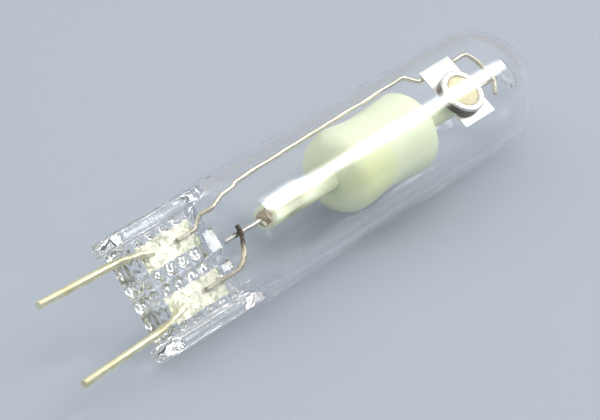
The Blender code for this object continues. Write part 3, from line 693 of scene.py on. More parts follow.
@dataclass
class Workshop:
    """Makes finished pieces and keeps the materials."""

    effects: Effects
    materials: dict[str, bpy.types.Material] = field(default_factory=dict)

    def material(self, finish: Finish) -> bpy.types.Material:
        """The material of a finish, made once.

        Args:
            finish: The finish.

        Returns:
            The material.
        """
        if finish.name not in self.materials:
            self.materials[finish.name] = finish.make(self.effects)
        return self.materials[finish.name]

    def piece(self, name: str, bm: Mesh, finish: Finish, *nodes: str, sharp: float = 40.0) -> None:
        """Turns a mesh in the lamp's frame into a finished piece that stands for CAD nodes.

        Args:
            name: The piece's name.
            bm: The mesh, in millimetres, which is freed.
            finish: Its finish.
            nodes: The CAD nodes that it replaces.
            sharp: Edges over this angle stay sharp.
        """
        bmesh.ops.transform(bm, matrix=AXIS.matrix(), verts=bm.verts)
        mesh = bpy.data.meshes.new(name)
        bm.to_mesh(mesh)
        bm.free()
        mesh.shade_smooth()
        mesh.set_sharp_from_angle(angle=math.radians(sharp))
        mesh.materials.append(self.material(finish))
        obj = bpy.data.objects.new(name, mesh)
        bpy.context.scene.collection.objects.link(obj)
        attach(obj, "root")
        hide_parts(*nodes)
        LOG.info("%s: %d faces, for %s", name, len(mesh.polygons), ", ".join(nodes))

    def dress_node(self, node: bpy.types.Object, finish: Finish) -> None:
        """Gives a CAD node that stays its finish.

        Args:
            node: The node's object.
            finish: The finish.
        """
        node.data.materials.clear()
        node.data.materials.append(self.material(finish))
        LOG.info("%s: dressed as %s", node.name, finish.name)


# Sub-assemblies


@dataclass
class Assembly:
    """What the sub-assemblies share: the workshop, and the sizes at which they meet."""

    shop: Workshop
    foil_start: float = 2.7
    foil_end: float = 10.5
    foil_spacing: float = 5.8
    foil_width: float = 3.1
    root: float = 12.1
    wire_radius: float = 0.275
    wire_level: float = 0.625
    jog_offset: float = 4.25
    arc_offset: float = 0.25


@dataclass
class OuterBulb(Assembly):
    """The quartz bulb: pinch with two wings and a waffle, shoulder, tube, dome and exhaust tip."""

    finish: Quartz = Quartz()
    tube_radius: float = 7.222
    tube_start: float = 16.5
    wall: float = 1.0
    dome_centre: float = 56.5
    pinch_length: float = 10.4
    pinch_step: float = 0.09
    shoulder_length: float = 2.9
    wing_runout: float = 4.4
    runout_margin: float = 0.5
    runout_blend: float = 1.6
    ledge_length: float = 1.05
    ledge_slope: float = 0.55
    ledge_runs: tuple[Span, ...] = ((-0.4, 2.6), (-2.7, -1.2))
    ledge_steps: tuple[float, ...] = (0.05, 0.1, 0.3, 0.5, 0.7, 0.9, 1.0)
    ledge_fade: float = 0.4
    unevenness: float = 0.06
    web_half_thickness: float = 1.3
    web_half_width: float = 5.25
    wing_half_width: float = 6.85
    wing_half_height: float = 2.8
    wing_rounding: float = 0.75
    wing_fillet: float = 0.3
    end_rounding: float = 0.35
    root_half_width: float = 4.8
    root_half_height: float = 0.4
    root_rounding: float = 0.5
    root_length: float = 2.75
    hollow_start: float = 15.3
    pad_length: float = 1.85
    pad_width: float = 1.909
    pad_height: float = 0.32
    pad_roundness: float = 0.8
    pad_margin: float = 0.4
    border: float = 0.3
    tip_radius: float = 1.7
    tip_height: float = 2.2
    tip_profile: tuple[Span, ...] = (
        (0.0, 1.25), (0.12, 0.98), (0.25, 0.93), (0.45, 0.88), (0.6, 0.8), (0.75, 0.68), (0.88, 0.5),
        (0.96, 0.3), (1.0, 0.12),
    )
    tip_swell: float = 0.07
    drop_size: float = 0.36
    drop_height: float = 0.36
    dimple_depth: float = 0.7
    dimple_radius: float = 0.7
    lump_height: float = 0.3
    lump_reach: float = 2.0
    lump_fade: float = 0.6
    bubbles: int = 48
    bubble_radius: float = 0.13
    bubble_spacing: float = 2.6
    web_points: int = 54
    wing_points: int = 26
    hollow_points: int = 128
    web_angle: float = math.radians(55.0)

    def build(self) -> None:
        """Builds the bulb with its hollow and its bubbles."""
        glass = self.outer_skin()
        join(glass, self.hollow())
        join(glass, self.tip_bubbles())
        self.shop.piece("quartz_bulb", glass, self.finish, "outer_bulb", sharp=60.0)

    def quarter(self) -> tuple[np.ndarray, np.ndarray]:
        """A quarter of the pinch's section, from the middle of the web to the side of a wing.

        Returns:
            The (y, z) points and each point's angle from the Z axis once the section is round.
        """
        h, inner, outer = self.web_half_thickness, self.web_half_width, self.wing_half_width
        top, fillet = self.wing_half_height, self.wing_fillet
        corners = [(inner - 3 * fillet, h), (inner, h), (inner, top), (outer, top), (outer, 0.0)]
        crest = rounded([(inner, h + fillet), *corners[2:]], self.wing_rounding, 8)
        path = np.array(rounded(corners[:3], fillet, 6)[:-1] + crest[1:])
        steps = np.linalg.norm(np.diff(path, axis=0), axis=1)
        run = np.concatenate(([0.0], np.cumsum(steps)))
        wing_run = np.linspace(0.0, run[-1], self.wing_points + 1)[1:]
        wing = np.stack([np.interp(wing_run, run, path[:, k]) for k in (0, 1)], axis=1)
        web_y = np.linspace(0.0, path[0, 0], self.web_points + 1)
        web = np.stack([web_y, np.full_like(web_y, h)], axis=1)
        angles = np.concatenate((
            np.linspace(0.0, self.web_angle, self.web_points + 1),
            np.linspace(self.web_angle, math.pi / 2, self.wing_points + 1)[1:],
        ))
        return np.concatenate((web, wing)), angles

    def whole(self, quarter: np.ndarray) -> np.ndarray:
        """Mirrors a quarter of a ring into a whole one, from the +Y side round through +Z."""
        half = np.concatenate((quarter[::-1], quarter[1:] * (-1, 1)))
        return np.concatenate((half, half[1:-1][::-1] * (1, -1)))

    def waffle(self, x: float, y: np.ndarray) -> np.ndarray:
        """Height of the jaws' waffle on the web.

        Args:
            x: Station along the lamp.
            y: Places across the web.

        Returns:
            The height at each place.
        """
        border = self.border
        along = math.sin(math.pi * x / self.pad_length) ** 2
        across = np.sin(math.pi * y / self.pad_width) ** 2
        over_foil = ease((x - self.foil_start + border) / border) * ease((self.foil_end - x) / border)
        beside = np.abs(np.abs(y) - self.foil_spacing / 2) - self.foil_width / 2
        smooth = over_foil * (1 - ease(beside / border + 0.5))
        to_wing = 1 - ease((np.abs(y) - self.web_half_width + self.pad_margin) / border)
        edge = to_wing * (1 - ease((x - self.pinch_length) / border + 1))
        return self.pad_height * (along * across) ** self.pad_roundness * (1 - smooth) * edge

    def wobble(self, x: float, ring: np.ndarray, amount: float) -> np.ndarray:
        """Small unevenness of hand-worked glass, pushed outwards from the lamp's axis.

        Args:
            x: Station along the lamp.
            ring: The ring's points.
            amount: The height of the unevenness.

        Returns:
            The uneven ring.
        """
        push = [noise.noise(Vector((0.35 * x, 0.45 * y, 0.45 * z))) for y, z in ring]
        length = np.linalg.norm(ring, axis=1, keepdims=True)
        return ring + ring / length * np.array(push)[:, None] * amount

    def outer_skin(self) -> Mesh:
        """The outer skin, closed at the end of the pinch and at the exhaust tip.

        Returns:
            The skin, facing out.
        """
        flat_quarter, angles = self.quarter()
        flat = self.whole(flat_quarter)
        y, face = flat[:, 0], np.sign(flat[:, 1])
        unit = self.whole(np.stack([np.sin(angles), np.cos(angles)], axis=1))
        tangent = np.roll(flat, -1, axis=0) - np.roll(flat, 1, axis=0)
        tangent /= np.linalg.norm(tangent, axis=1, keepdims=True)
        outward = np.stack([tangent[:, 1], -tangent[:, 0]], axis=1)
        on_web = (np.abs(y) < self.web_half_width) & (np.abs(flat[:, 1]) < self.web_half_thickness + 0.05)
        wing_share = ease((np.abs(y) - self.web_half_width + self.runout_margin) / self.runout_blend)
        reach = self.shoulder_length + (self.wing_runout - self.shoulder_length) * wing_share
        rings = []
        for x in np.linspace(0.0, self.pinch_length, round(self.pinch_length / self.pinch_step) + 1):
            short = max(0.0, 1 - x / self.end_rounding)
            ring = flat - outward * (self.end_rounding * (1 - math.sqrt(1 - short ** 2)))
            ring[:, 1] += face * np.where(on_web, self.waffle(x, y), 0.0)
            rings.append((x, self.wobble(x, ring, self.unevenness)))
        foot = flat.copy()
        for low, high in self.ledge_runs:
            inside = ease((y - low) / self.border) * ease((high - y) / self.border)
            foot[:, 1] += np.where(on_web, face * self.ledge_slope * self.ledge_length * inside, 0.0)
        for step in self.ledge_steps:
            ring = self.wobble(self.pinch_length, flat + (foot - flat) * step, self.unevenness)
            rings.append((self.pinch_length + self.ledge_length * step, ring))
        for turn in np.linspace(0.0, 1.0, 42)[1:]:
            run, rise = shoulder(turn)
            start = flat + (foot - flat) * (1 - float(ease(turn / self.ledge_fade)))
            ring = start + (unit * self.tube_radius - start) * rise
            along = self.pinch_length + self.ledge_length + run * reach
            rings.append((along, self.wobble(self.pinch_length, ring, self.unevenness * (1 - rise) ** 2)))
        for x in np.linspace(self.tube_start, self.dome_centre, 24):
            rings.append((x, unit * self.tube_radius))
        return skin(rings + self.dome_rings(unit))

    def dome_rings(self, unit: np.ndarray) -> list[tuple[float | np.ndarray, np.ndarray]]:
        """Rings of the dome and of the exhaust tip that was drawn off and melted shut.

        Args:
            unit: The round ring of radius 1.

        Returns:
            Each ring's station and points.
        """
        rings = []
        heights, shares = zip(*self.tip_profile)
        last = math.acos(shares[0] * self.tip_radius / self.tube_radius)
        for angle in np.linspace(0.0, last, 24)[1:]:
            x = self.dome_centre + self.tube_radius * math.sin(angle)
            rings.append((x, unit * self.tube_radius * math.cos(angle)))
        start = rings[-1][0]
        crown = self.dome_centre + self.tube_radius
        turn = np.arctan2(unit[:, 1], unit[:, 0])
        for t in np.linspace(0.04, 1.0, 36):
            share = float(np.interp(t, heights, shares))
            swell = 1 + self.tip_swell * np.sin(3 * turn + 5 * t)
            x = start + (crown + self.tip_height - start) * t
            ring = unit * (self.tip_radius * share * swell)[:, None]
            drops = np.array([noise.noise(Vector((x, y, z)) / self.drop_size) for y, z in ring])
            swollen = ring * (1 + self.drop_height / max(self.tip_radius * share, 1.0) * drops)[:, None]
            sunk = self.drop_height * float(ease((t - 0.7) / 0.3)) * np.maximum(0.0, 0.5 + drops)
            rings.append((x - sunk, swollen))
        return rings

    def tip_bubbles(self) -> Mesh:
        """Fine bubbles that boiled up in the quartz where the exhaust tube was melted off.

        Returns:
            The bubbles' walls, facing into them.
        """
        crown = self.dome_centre + self.tube_radius
        chance = np.random.default_rng(7)
        centres: list[Vector] = []
        bm = bmesh.new()
        while len(centres) < self.bubbles:
            along, out, turn, size = chance.random(4)
            reach = self.tip_radius * math.sqrt(out) * (0.85 if along < 0.55 else 0.55)
            centre = Vector((crown - 0.1 + 0.6 * self.tip_height * along,
                             reach * math.cos(2 * math.pi * turn), reach * math.sin(2 * math.pi * turn)))
            if all((centre - other).length > self.bubble_spacing * self.bubble_radius for other in centres):
                centres.append(centre)
                bmesh.ops.create_icosphere(bm, subdivisions=2, radius=self.bubble_radius * (0.5 + 0.7 * size),
                                           matrix=Matrix.Translation(centre))
        bmesh.ops.reverse_faces(bm, faces=bm.faces)
        return bm

    def hollow(self) -> Mesh:
        """The inner surface of the quartz, with its slit at the pinch and its dimple under the tip.

        Returns:
            The surface, facing into the hollow.
        """
        radius = self.tube_radius - self.wall
        angles = np.arange(self.hollow_points) * 2 * math.pi / self.hollow_points
        unit = np.stack([np.cos(angles), np.sin(angles)], axis=1)
        slit = unit * (self.root_half_width, self.root_half_height)
        rings = []
        for turn in np.linspace(0.0, 1.0, 36):
            run, rise = shoulder(turn)
            x = self.root + self.root_length * run
            depth = min(1.0, (x - self.root) / self.root_rounding)
            close = math.sqrt(max(1e-4, 1 - (1 - depth) ** 2))
            rings.append((x, (slit + (unit * radius - slit) * rise) * close))
        for x in np.linspace(self.hollow_start, self.dome_centre, 20):
            rings.append((x, unit * radius))
        for angle in np.linspace(0.0, math.pi / 2, 48)[1:]:
            ring_radius = max(radius * math.cos(angle), 0.02)
            dimple = self.dimple_depth * math.exp(-(ring_radius / self.dimple_radius) ** 2)
            rough = self.lump_height * float(ease((self.lump_reach - ring_radius) / self.lump_fade))
            x = self.dome_centre + radius * math.sin(angle) + dimple
            lumps = [noise.noise(Vector((x, y, z)) / self.drop_size) for y, z in unit * ring_radius]
            rings.append((x + rough * np.array(lumps), unit * ring_radius))
        bm = skin(rings)
        bmesh.ops.reverse_faces(bm, faces=bm.faces)
        return bm


@dataclass
class Pinch(Assembly):
    """The metal that is sealed into the pinch: two pins and two foils."""

    pin_radius: float = 0.45
    pin_exposed: float = 11.2
    pin_sealed: float = 4.3
    pin_pitch: float = 8.1
    pin_tip_pitch: float = 8.8
    pin_level: float = 0.25
    pin_bend: float = 3.6
    pin_rounding: float = 0.12
    foil_length: float = 7.8
    foil_thickness: float = 0.06
    foil_level: float = -0.3
    crease_height: float = 0.015
    crease_margin: float = 0.3
    pin_finish: Metal = Metal(
        name="tarnished_nickel", slot="pin_nickel", colour=(0.95, 0.91, 0.66), tarnish=(0.62, 0.54, 0.22),
        tarnish_share=0.45, smooth=0.26, rough=0.36, patch_size=1.8,
    )
    foil_finish: Foil = Foil()

    def build(self) -> None:
        """Builds the two pins and the two foils."""
        for side in Side:
            self.build_pin(side)
            self.build_foil(side)

    def build_pin(self, side: Side) -> None:
        """One pin, from its cut tip to its end on the foil.

        Args:
            side: The side of the pinch.
        """
        sign = side.value
        on_foil = sign * (self.foil_spacing / 2 + self.pin_radius / 2)
        corners = [
            (-self.pin_exposed, sign * self.pin_tip_pitch / 2, self.pin_level),
            (self.pin_radius, sign * self.pin_pitch / 2, self.pin_level),
            (self.pin_sealed, on_foil, self.pin_level),
        ]
        wire = swept(rounded(corners, self.pin_bend, 8, wire=True), self.pin_radius, 32, self.pin_rounding)
        name = f"contact_pin_{side.number}"
        self.shop.piece(f"{name}_wire", wire, self.pin_finish, name)

    def build_foil(self, side: Side) -> None:
        """One foil, creased by the pinch.

        Args:
            side: The side of the pinch.
        """
        bm = bmesh.new()
        bmesh.ops.create_grid(bm, x_segments=78, y_segments=32, size=0.5)
        middle = (self.foil_start + self.foil_length / 2, side.value * self.foil_spacing / 2, self.foil_level)
        bmesh.ops.scale(bm, vec=(self.foil_length, self.foil_width, 1.0), verts=bm.verts)
        bmesh.ops.translate(bm, vec=middle, verts=bm.verts)
        for vert in bm.verts:
            x, y, _ = vert.co
            edge = min(x - self.foil_start, self.foil_start + self.foil_length - x,
                       self.foil_width / 2 - abs(y - middle[1]))
            broad = noise.noise(Vector((0.9 * x, 1.6 * y, 3.0)))
            fine = noise.noise(Vector((2.6 * x, 3.1 * y, 8.0)))
            vert.co.z += self.crease_height * (broad + 0.5 * fine) * ease(edge / self.crease_margin)
        bmesh.ops.solidify(bm, geom=bm.faces, thickness=self.foil_thickness)
        bmesh.ops.recalc_face_normals(bm, faces=bm.faces)
        name = f"seal_foil_{side.number}"
        self.shop.piece(f"{name}_sheet", bm, self.foil_finish, name, sharp=60.0)


@dataclass
class Wires(Assembly):
    """The long wire with its step and bow, and the short wire across the near lead."""

    rounding: float = 0.06
    long_bend: float = 1.4
    short_bend: float = 2.2
    landing: float = 2.8
    on_foil_level: float = 0.075
    splay: float = 1.1
    straight_offset: float = 5.58
    straight_lean: float = 0.52
    plate_start: float = 49.5
    plate_end: float = 54.9
    bow_at: float = 59.85
    short_at: float = 15.6
    short_lean: float = 0.4
    long_finish: Metal = Metal(
        name="bright_drawn_wire", slot="wire_steel", colour=(0.74, 0.69, 0.56), tarnish=(0.42, 0.34, 0.22),
        tarnish_share=0.5, smooth=0.16, rough=0.28, patch_size=2.2,
        spots=(Spot((7.7, -2.9, 0.1), 0.5), Spot((7.7, 2.9, 0.1), 0.4)),
    )
    short_finish: Metal = replace(
        long_finish, name="heated_wire", colour=(0.78, 0.72, 0.58), patch_size=1.6,
        spots=(Spot((7.7, -2.9, 0.1), 0.55), Spot((15.6, 0.3, 0.6), 2.1)),
    )

    def build(self) -> None:
        """Builds both wires."""
        for name, node, route, bend, finish in (
            ("long_wire", "frame_wire", self.long_route(), self.long_bend, self.long_finish),
            ("short_wire", "short_lead_wire", self.short_route(), self.short_bend, self.short_finish),
        ):
            wire = swept(rounded(route, bend, 8, wire=True), self.wire_radius, 24, self.rounding)
            self.shop.piece(name, wire, finish, node)

    def long_route(self) -> list[Point]:
        """The corners of the long wire, from its foil to the bow over the far lead.

        Returns:
            The corners.
        """
        foil_y, level = self.foil_spacing / 2, self.wire_level
        splayed = foil_y + self.splay
        return [
            (self.foil_end - self.landing, foil_y, self.on_foil_level),
            (self.foil_end, foil_y, self.on_foil_level),
            (self.root, splayed, self.on_foil_level),
            (self.root + 2.1, splayed, level),
            (self.root + 4.2, self.straight_offset - 0.71, level),
            (self.root + 6.5, self.straight_offset - self.straight_lean, level),
            (self.plate_start - 2.3, self.straight_offset, level),
            (self.plate_start - 0.45, self.jog_offset, level),
            (self.plate_end, self.jog_offset, level),
            (self.bow_at - 1.95, self.jog_offset, level),
            (self.bow_at - 0.975, self.jog_offset - 1.3, level),
            (self.bow_at, self.arc_offset + 0.35, level),
            (self.bow_at, self.arc_offset - 0.35, level),
            (self.bow_at - 1.0, self.arc_offset - 1.63, level),
        ]

    def short_route(self) -> list[Point]:
        """The corners of the short wire, from its foil across the near lead.

        Returns:
            The corners.
        """
        foil_y, level = -self.foil_spacing / 2, self.wire_level
        before, after = self.short_at - self.short_lean, self.short_at + self.short_lean
        return [
            (self.foil_end - self.landing, foil_y, self.on_foil_level),
            (self.root, foil_y, self.on_foil_level),
            (before - 1.5, foil_y, level),
            (before, foil_y + 1.3, level),
            (after, self.arc_offset, level),
            (after, self.arc_offset + 0.9, level),
        ]


@dataclass
class ArcTube(Assembly):
    """The ceramic arc tube with its capillaries, seals and leads."""

    centre: float = 37.7
    radius: float = 4.72
    half_length: float = 7.25
    rounding: float = 2.0
    waist: float = 0.36
    wall: float = 0.75
    end_wall: float = 1.3
    capillary_radius: float = 1.35
    bore: float = 0.55
    capillary_end: float = 17.4
    rim_rounding: float = 0.12
    lead_radius: float = 0.3
    lead_rounding: float = 0.06
    lead_out_pin: float = 6.45
    lead_out_dome: float = 6.0
    lead_sealed: float = 3.6
    bead_radius: float = 0.85
    bead_height: float = 0.4
    frit_depth: float = 3.0
    ceramic: Ceramic = Ceramic()
    lead_finish: Metal = Metal(
        name="niobium_rod", slot="niobium", colour=(0.74, 0.72, 0.66), tarnish=(0.38, 0.35, 0.30),
        tarnish_share=0.4, smooth=0.16, rough=0.3, patch_size=1.4, spots=(Spot((15.6, 0.3, 0.0), 0.5),),
    )
    frit_finish: Grainy = Grainy(
        name="fused_frit", slot="frit", colour=(0.55, 0.47, 0.30), shade=(0.30, 0.22, 0.10), grain_size=0.5,
        grain_height=0.02, smooth=0.2, rough=0.4,
    )

    def build(self) -> None:
        """Builds the body and both ends."""
        outer = self.body_outline(self.radius, self.half_length, self.rounding)
        inner = self.body_outline(
            self.radius - self.wall, self.half_length - self.end_wall, self.rounding - self.wall
        )
        body = turned(outer + inner[::-1], 128, closed=True)
        self.shop.piece("ceramic_body", self.moved(body), self.ceramic, "arc_tube_body")
        for end in End:
            self.build_end(end)

    def moved(self, bm: Mesh) -> Mesh:
        """Moves a piece from the arc tube's own middle to its place in the lamp."""
        bmesh.ops.translate(bm, vec=(self.centre, self.arc_offset, 0.0), verts=bm.verts)
        return bm

    def body_outline(self, radius: float, half: float, rounding: float) -> Outline:
        """Half section of a waisted, round-cornered body, from the dome end down.

        Args:
            radius: The body's radius.
            half: Half its length.
            rounding: The radius of its corners.

        Returns:
            Points as (radius, station).
        """
        side = half - rounding
        points = [(self.capillary_radius + 0.01, half)]
        for angle in np.linspace(math.pi / 2, 0.0, 15):
            points.append((radius - rounding + rounding * math.cos(angle), side + rounding * math.sin(angle)))
        lower = [(r, -x) for r, x in points[::-1]]
        for x in np.linspace(side, -side, 19)[1:-1]:
            points.append((radius - self.waist * math.cos(math.pi / 2 * x / side) ** 2, float(x)))
        return points + lower

    def build_end(self, end: End) -> None:
        """Capillary, frit and lead of one end.

        Args:
            end: The end.
        """
        sign, stop = end.value, self.capillary_end
        inner_wall = self.half_length - self.end_wall
        tube = rounded([
            (self.bore, inner_wall + 1.0), (self.bore, inner_wall), (self.capillary_radius, inner_wall),
            (self.capillary_radius, stop), (self.bore, stop), (self.bore, inner_wall + 1.0),
        ], self.rim_rounding)
        bm = self.moved(turned([(r, sign * x) for r, x in tube[:-1]], 72, closed=True))
        self.shop.piece(f"ceramic_capillary_{end.label}", bm, self.ceramic, f"capillary_{end.label}")

        gap, seat = self.lead_radius + 0.02, self.bore - 0.02
        bead = rounded([
            (gap, stop + self.bead_height), (0.6 * self.bead_radius, stop + self.bead_height),
            (self.bead_radius, stop + 0.3 * self.bead_height), (self.bead_radius, stop + 0.01),
            (seat, stop + 0.01), (seat, stop - self.frit_depth), (gap, stop - self.frit_depth),
        ], self.rim_rounding)
        bm = self.moved(turned([(r, sign * x) for r, x in bead], 48, closed=True))
        self.shop.piece(f"frit_bead_{end.label}", bm, self.frit_finish, f"frit_seal_{end.label}")

        start = stop - self.lead_sealed
        out = stop + (self.lead_out_pin if end is End.PIN else self.lead_out_dome)
        route = [(sign * x, 0.0, 0.0) for x in (start, start + 1.0, out)]
        bm = self.moved(swept(route, self.lead_radius, 32, self.lead_rounding))
        self.shop.piece(f"lead_rod_{end.label}", bm, self.lead_finish, f"niobium_lead_{end.label}")


@dataclass
class Getter(Assembly):
    """The plate on the long wire, with its ring-shaped cup and the powder in it."""

    plate_at: float = 52.2
    plate_length: float = 8.0
    plate_width: float = 5.4
    plate_thickness: float = 0.2
    plate_overhang: float = 0.75
    plate_rounding: float = 0.05
    tilt: float = math.radians(16.0)
    gap: float = 0.05
    cup_radius: float = 2.675
    cup_height: float = 1.35
    cup_rounding: float = 0.26
    rim: float = 0.8
    floor: float = 0.25
    cup_sideways: float = -0.65
    cup_along: float = -0.6
    recess: float = 0.03
    fill_crown: float = 0.12
    fill_rounding: float = 0.2
    fill_lumps: float = 0.05
    plate_finish: Metal = Metal(
        name="nickel_plated_strip", slot="plated_strip", colour=(0.97, 0.96, 0.93),
        tarnish=(0.74, 0.70, 0.60), tarnish_share=0.25, smooth=0.3, rough=0.42, patch_size=2.4,
        line_height=0.006,
    )
    # Painted shade darkens the cup's wall under its rim.
    cup_finish: Metal = Metal(
        name="pressed_nickel_cup", slot="plated_strip", colour=(0.90, 0.88, 0.83), tarnish=(0.55, 0.48, 0.36),
        tarnish_share=0.35, smooth=0.16, rough=0.28, patch_size=1.6, line_height=0.006,
        below=Plane((0.0, 0.2756, 0.9613), 3.50, 0.2),
    )
    powder_finish: Grainy = Grainy(
        name="getter_powder", slot="getter_powder", colour=(1.0, 0.97, 0.70), shade=(0.94, 0.82, 0.46),
        grain_size=0.2, grain_height=0.035, smooth=0.7, rough=0.95,
    )

    def seat(self) -> Matrix:
        """Where the middle of the plate lies, with its open side along +Z.

        Returns:
            The place, as a matrix in the lamp's frame.
        """
        sideways = self.jog_offset + self.plate_overhang - self.plate_length / 2 * math.cos(self.tilt)
        lean = (self.wire_radius + self.gap + self.plate_thickness / 2) / math.cos(self.tilt)
        rise = (self.jog_offset - sideways) * math.tan(self.tilt)
        place = Matrix.Translation((self.plate_at, sideways, self.wire_level + lean + rise))
        return place @ Matrix.Rotation(-self.tilt, 4, "X")

    def build(self) -> None:
        """Builds the plate, the cup and the powder."""
        base = self.plate_thickness / 2 + self.gap
        self.build_plate()
        self.build_cup(base)
        self.build_fill(base)

    def stood(self, bm: Mesh) -> Mesh:
        """Stands a piece that was turned about X on the plate, at the cup's place.

        Args:
            bm: The piece's mesh.

        Returns:
            The same mesh, in its place.
        """
        upright = Matrix.Rotation(-math.pi / 2, 4, "Y")
        place = self.seat() @ Matrix.Translation((self.cup_along, self.cup_sideways, 0.0)) @ upright
        bmesh.ops.transform(bm, matrix=place, verts=bm.verts)
        return bm

    def build_plate(self) -> None:
        """The sheared plate."""
        bm = bmesh.new()
        size = (self.plate_width, self.plate_length, self.plate_thickness)
        bmesh.ops.create_cube(bm, size=1.0)
        bmesh.ops.scale(bm, vec=size, verts=bm.verts)
        bmesh.ops.bevel(bm, geom=list(bm.edges), offset=self.plate_rounding, offset_type="OFFSET",
                        affect="EDGES", segments=3, profile=0.5, material=-1)
        bmesh.ops.transform(bm, matrix=self.seat(), verts=bm.verts)
        self.shop.piece("getter_plate_strip", bm, self.plate_finish, "getter_plate")

    def build_cup(self, base: float) -> None:
        """The pressed cup with its rolled rim.

        Args:
            base: The cup's underside above the middle of the plate.
        """
        outer, inner, top = self.cup_radius, self.cup_radius - self.rim, base + self.cup_height
        corners = [(0.0, base + self.floor), (inner, base + self.floor), (inner, top), (outer, top),
                   (outer, base), (0.0, base)]
        bm = turned(rounded(corners, self.cup_rounding, 6), 96)
        self.shop.piece("getter_cup_ring", self.stood(bm), self.cup_finish, "getter_cup")

    def build_fill(self, base: float) -> None:
        """The pressed powder, a little uneven on top.

        Args:
            base: The cup's underside above the middle of the plate.
        """
        low, high = base + self.floor + 0.01, base + self.cup_height - self.recess
        radius = self.cup_radius - self.rim - 0.01
        top = [(radius * share, high - self.fill_crown * share ** 4) for share in np.linspace(0.0, 0.96, 16)]
        bm = turned([*top, (radius, high - self.fill_rounding), (radius, low), (0.0, low)], 72)
        for vert in bm.verts:
            if vert.co.x > high - self.fill_crown - 0.01:
                vert.co.x += self.fill_lumps * noise.noise(Vector((0.0, 2.2 * vert.co.y, 2.2 * vert.co.z)))
        self.shop.piece("getter_powder_fill", self.stood(bm), self.powder_finish, "getter_fill")


@dataclass
class InnerPieces:
    """The CAD nodes inside the arc tube, which stay as they are and get their finishes."""

    shop: Workshop
    tungsten: Metal = Metal(
        name="drawn_tungsten", slot="tungsten", colour=(0.42, 0.42, 0.43), tarnish=(0.22, 0.20, 0.18),
        tarnish_share=0.5, smooth=0.3, rough=0.45, patch_size=0.8,
    )
    molybdenum: Metal = Metal(
        name="molybdenum_wire", slot="molybdenum", colour=(0.66, 0.65, 0.62), tarnish=(0.40, 0.36, 0.30),
        tarnish_share=0.4, smooth=0.25, rough=0.4, patch_size=0.8,
    )
    mercury: Metal = Metal(
        name="mercury_bead", slot="mercury", colour=(0.86, 0.86, 0.87), tarnish=(0.60, 0.60, 0.60),
        tarnish_share=0.2, smooth=0.04, rough=0.08, patch_size=0.6, line_height=0.0,
    )
    salt: Grainy = Grainy(
        name="frozen_salt", slot="salt", colour=(0.66, 0.60, 0.20), shade=(0.40, 0.32, 0.08), grain_size=0.25,
        grain_height=0.06, smooth=0.35, rough=0.6,
    )

    def dress(self, nodes: dict[str, bpy.types.Object]) -> None:
        """Dresses the nodes.

        Args:
            nodes: The CAD nodes by name.
        """
        for end in End:
            for start, finish in (
                ("electrode", self.tungsten), ("electrode_coil", self.tungsten),
                ("molybdenum_mandrel", self.molybdenum), ("molybdenum_overwind", self.molybdenum),
            ):
                self.shop.dress_node(nodes[f"{start}_{end.label}"], finish)
        self.shop.dress_node(nodes["mercury_bead"], self.mercury)
        self.shop.dress_node(nodes["halide_salt"], self.salt)


# Studio


@dataclass(frozen=True)
class Softbox:
    """A soft-edged area light that shines onto the lamp, with one side square to the lamp's axis."""

    name: str
    towards: Point
    distance: float
    along: float
    across: float
    power: float
    colour: Colour = (1.0, 1.0, 1.0)
    core_along: float = 0.0
    core_across: float = 0.0


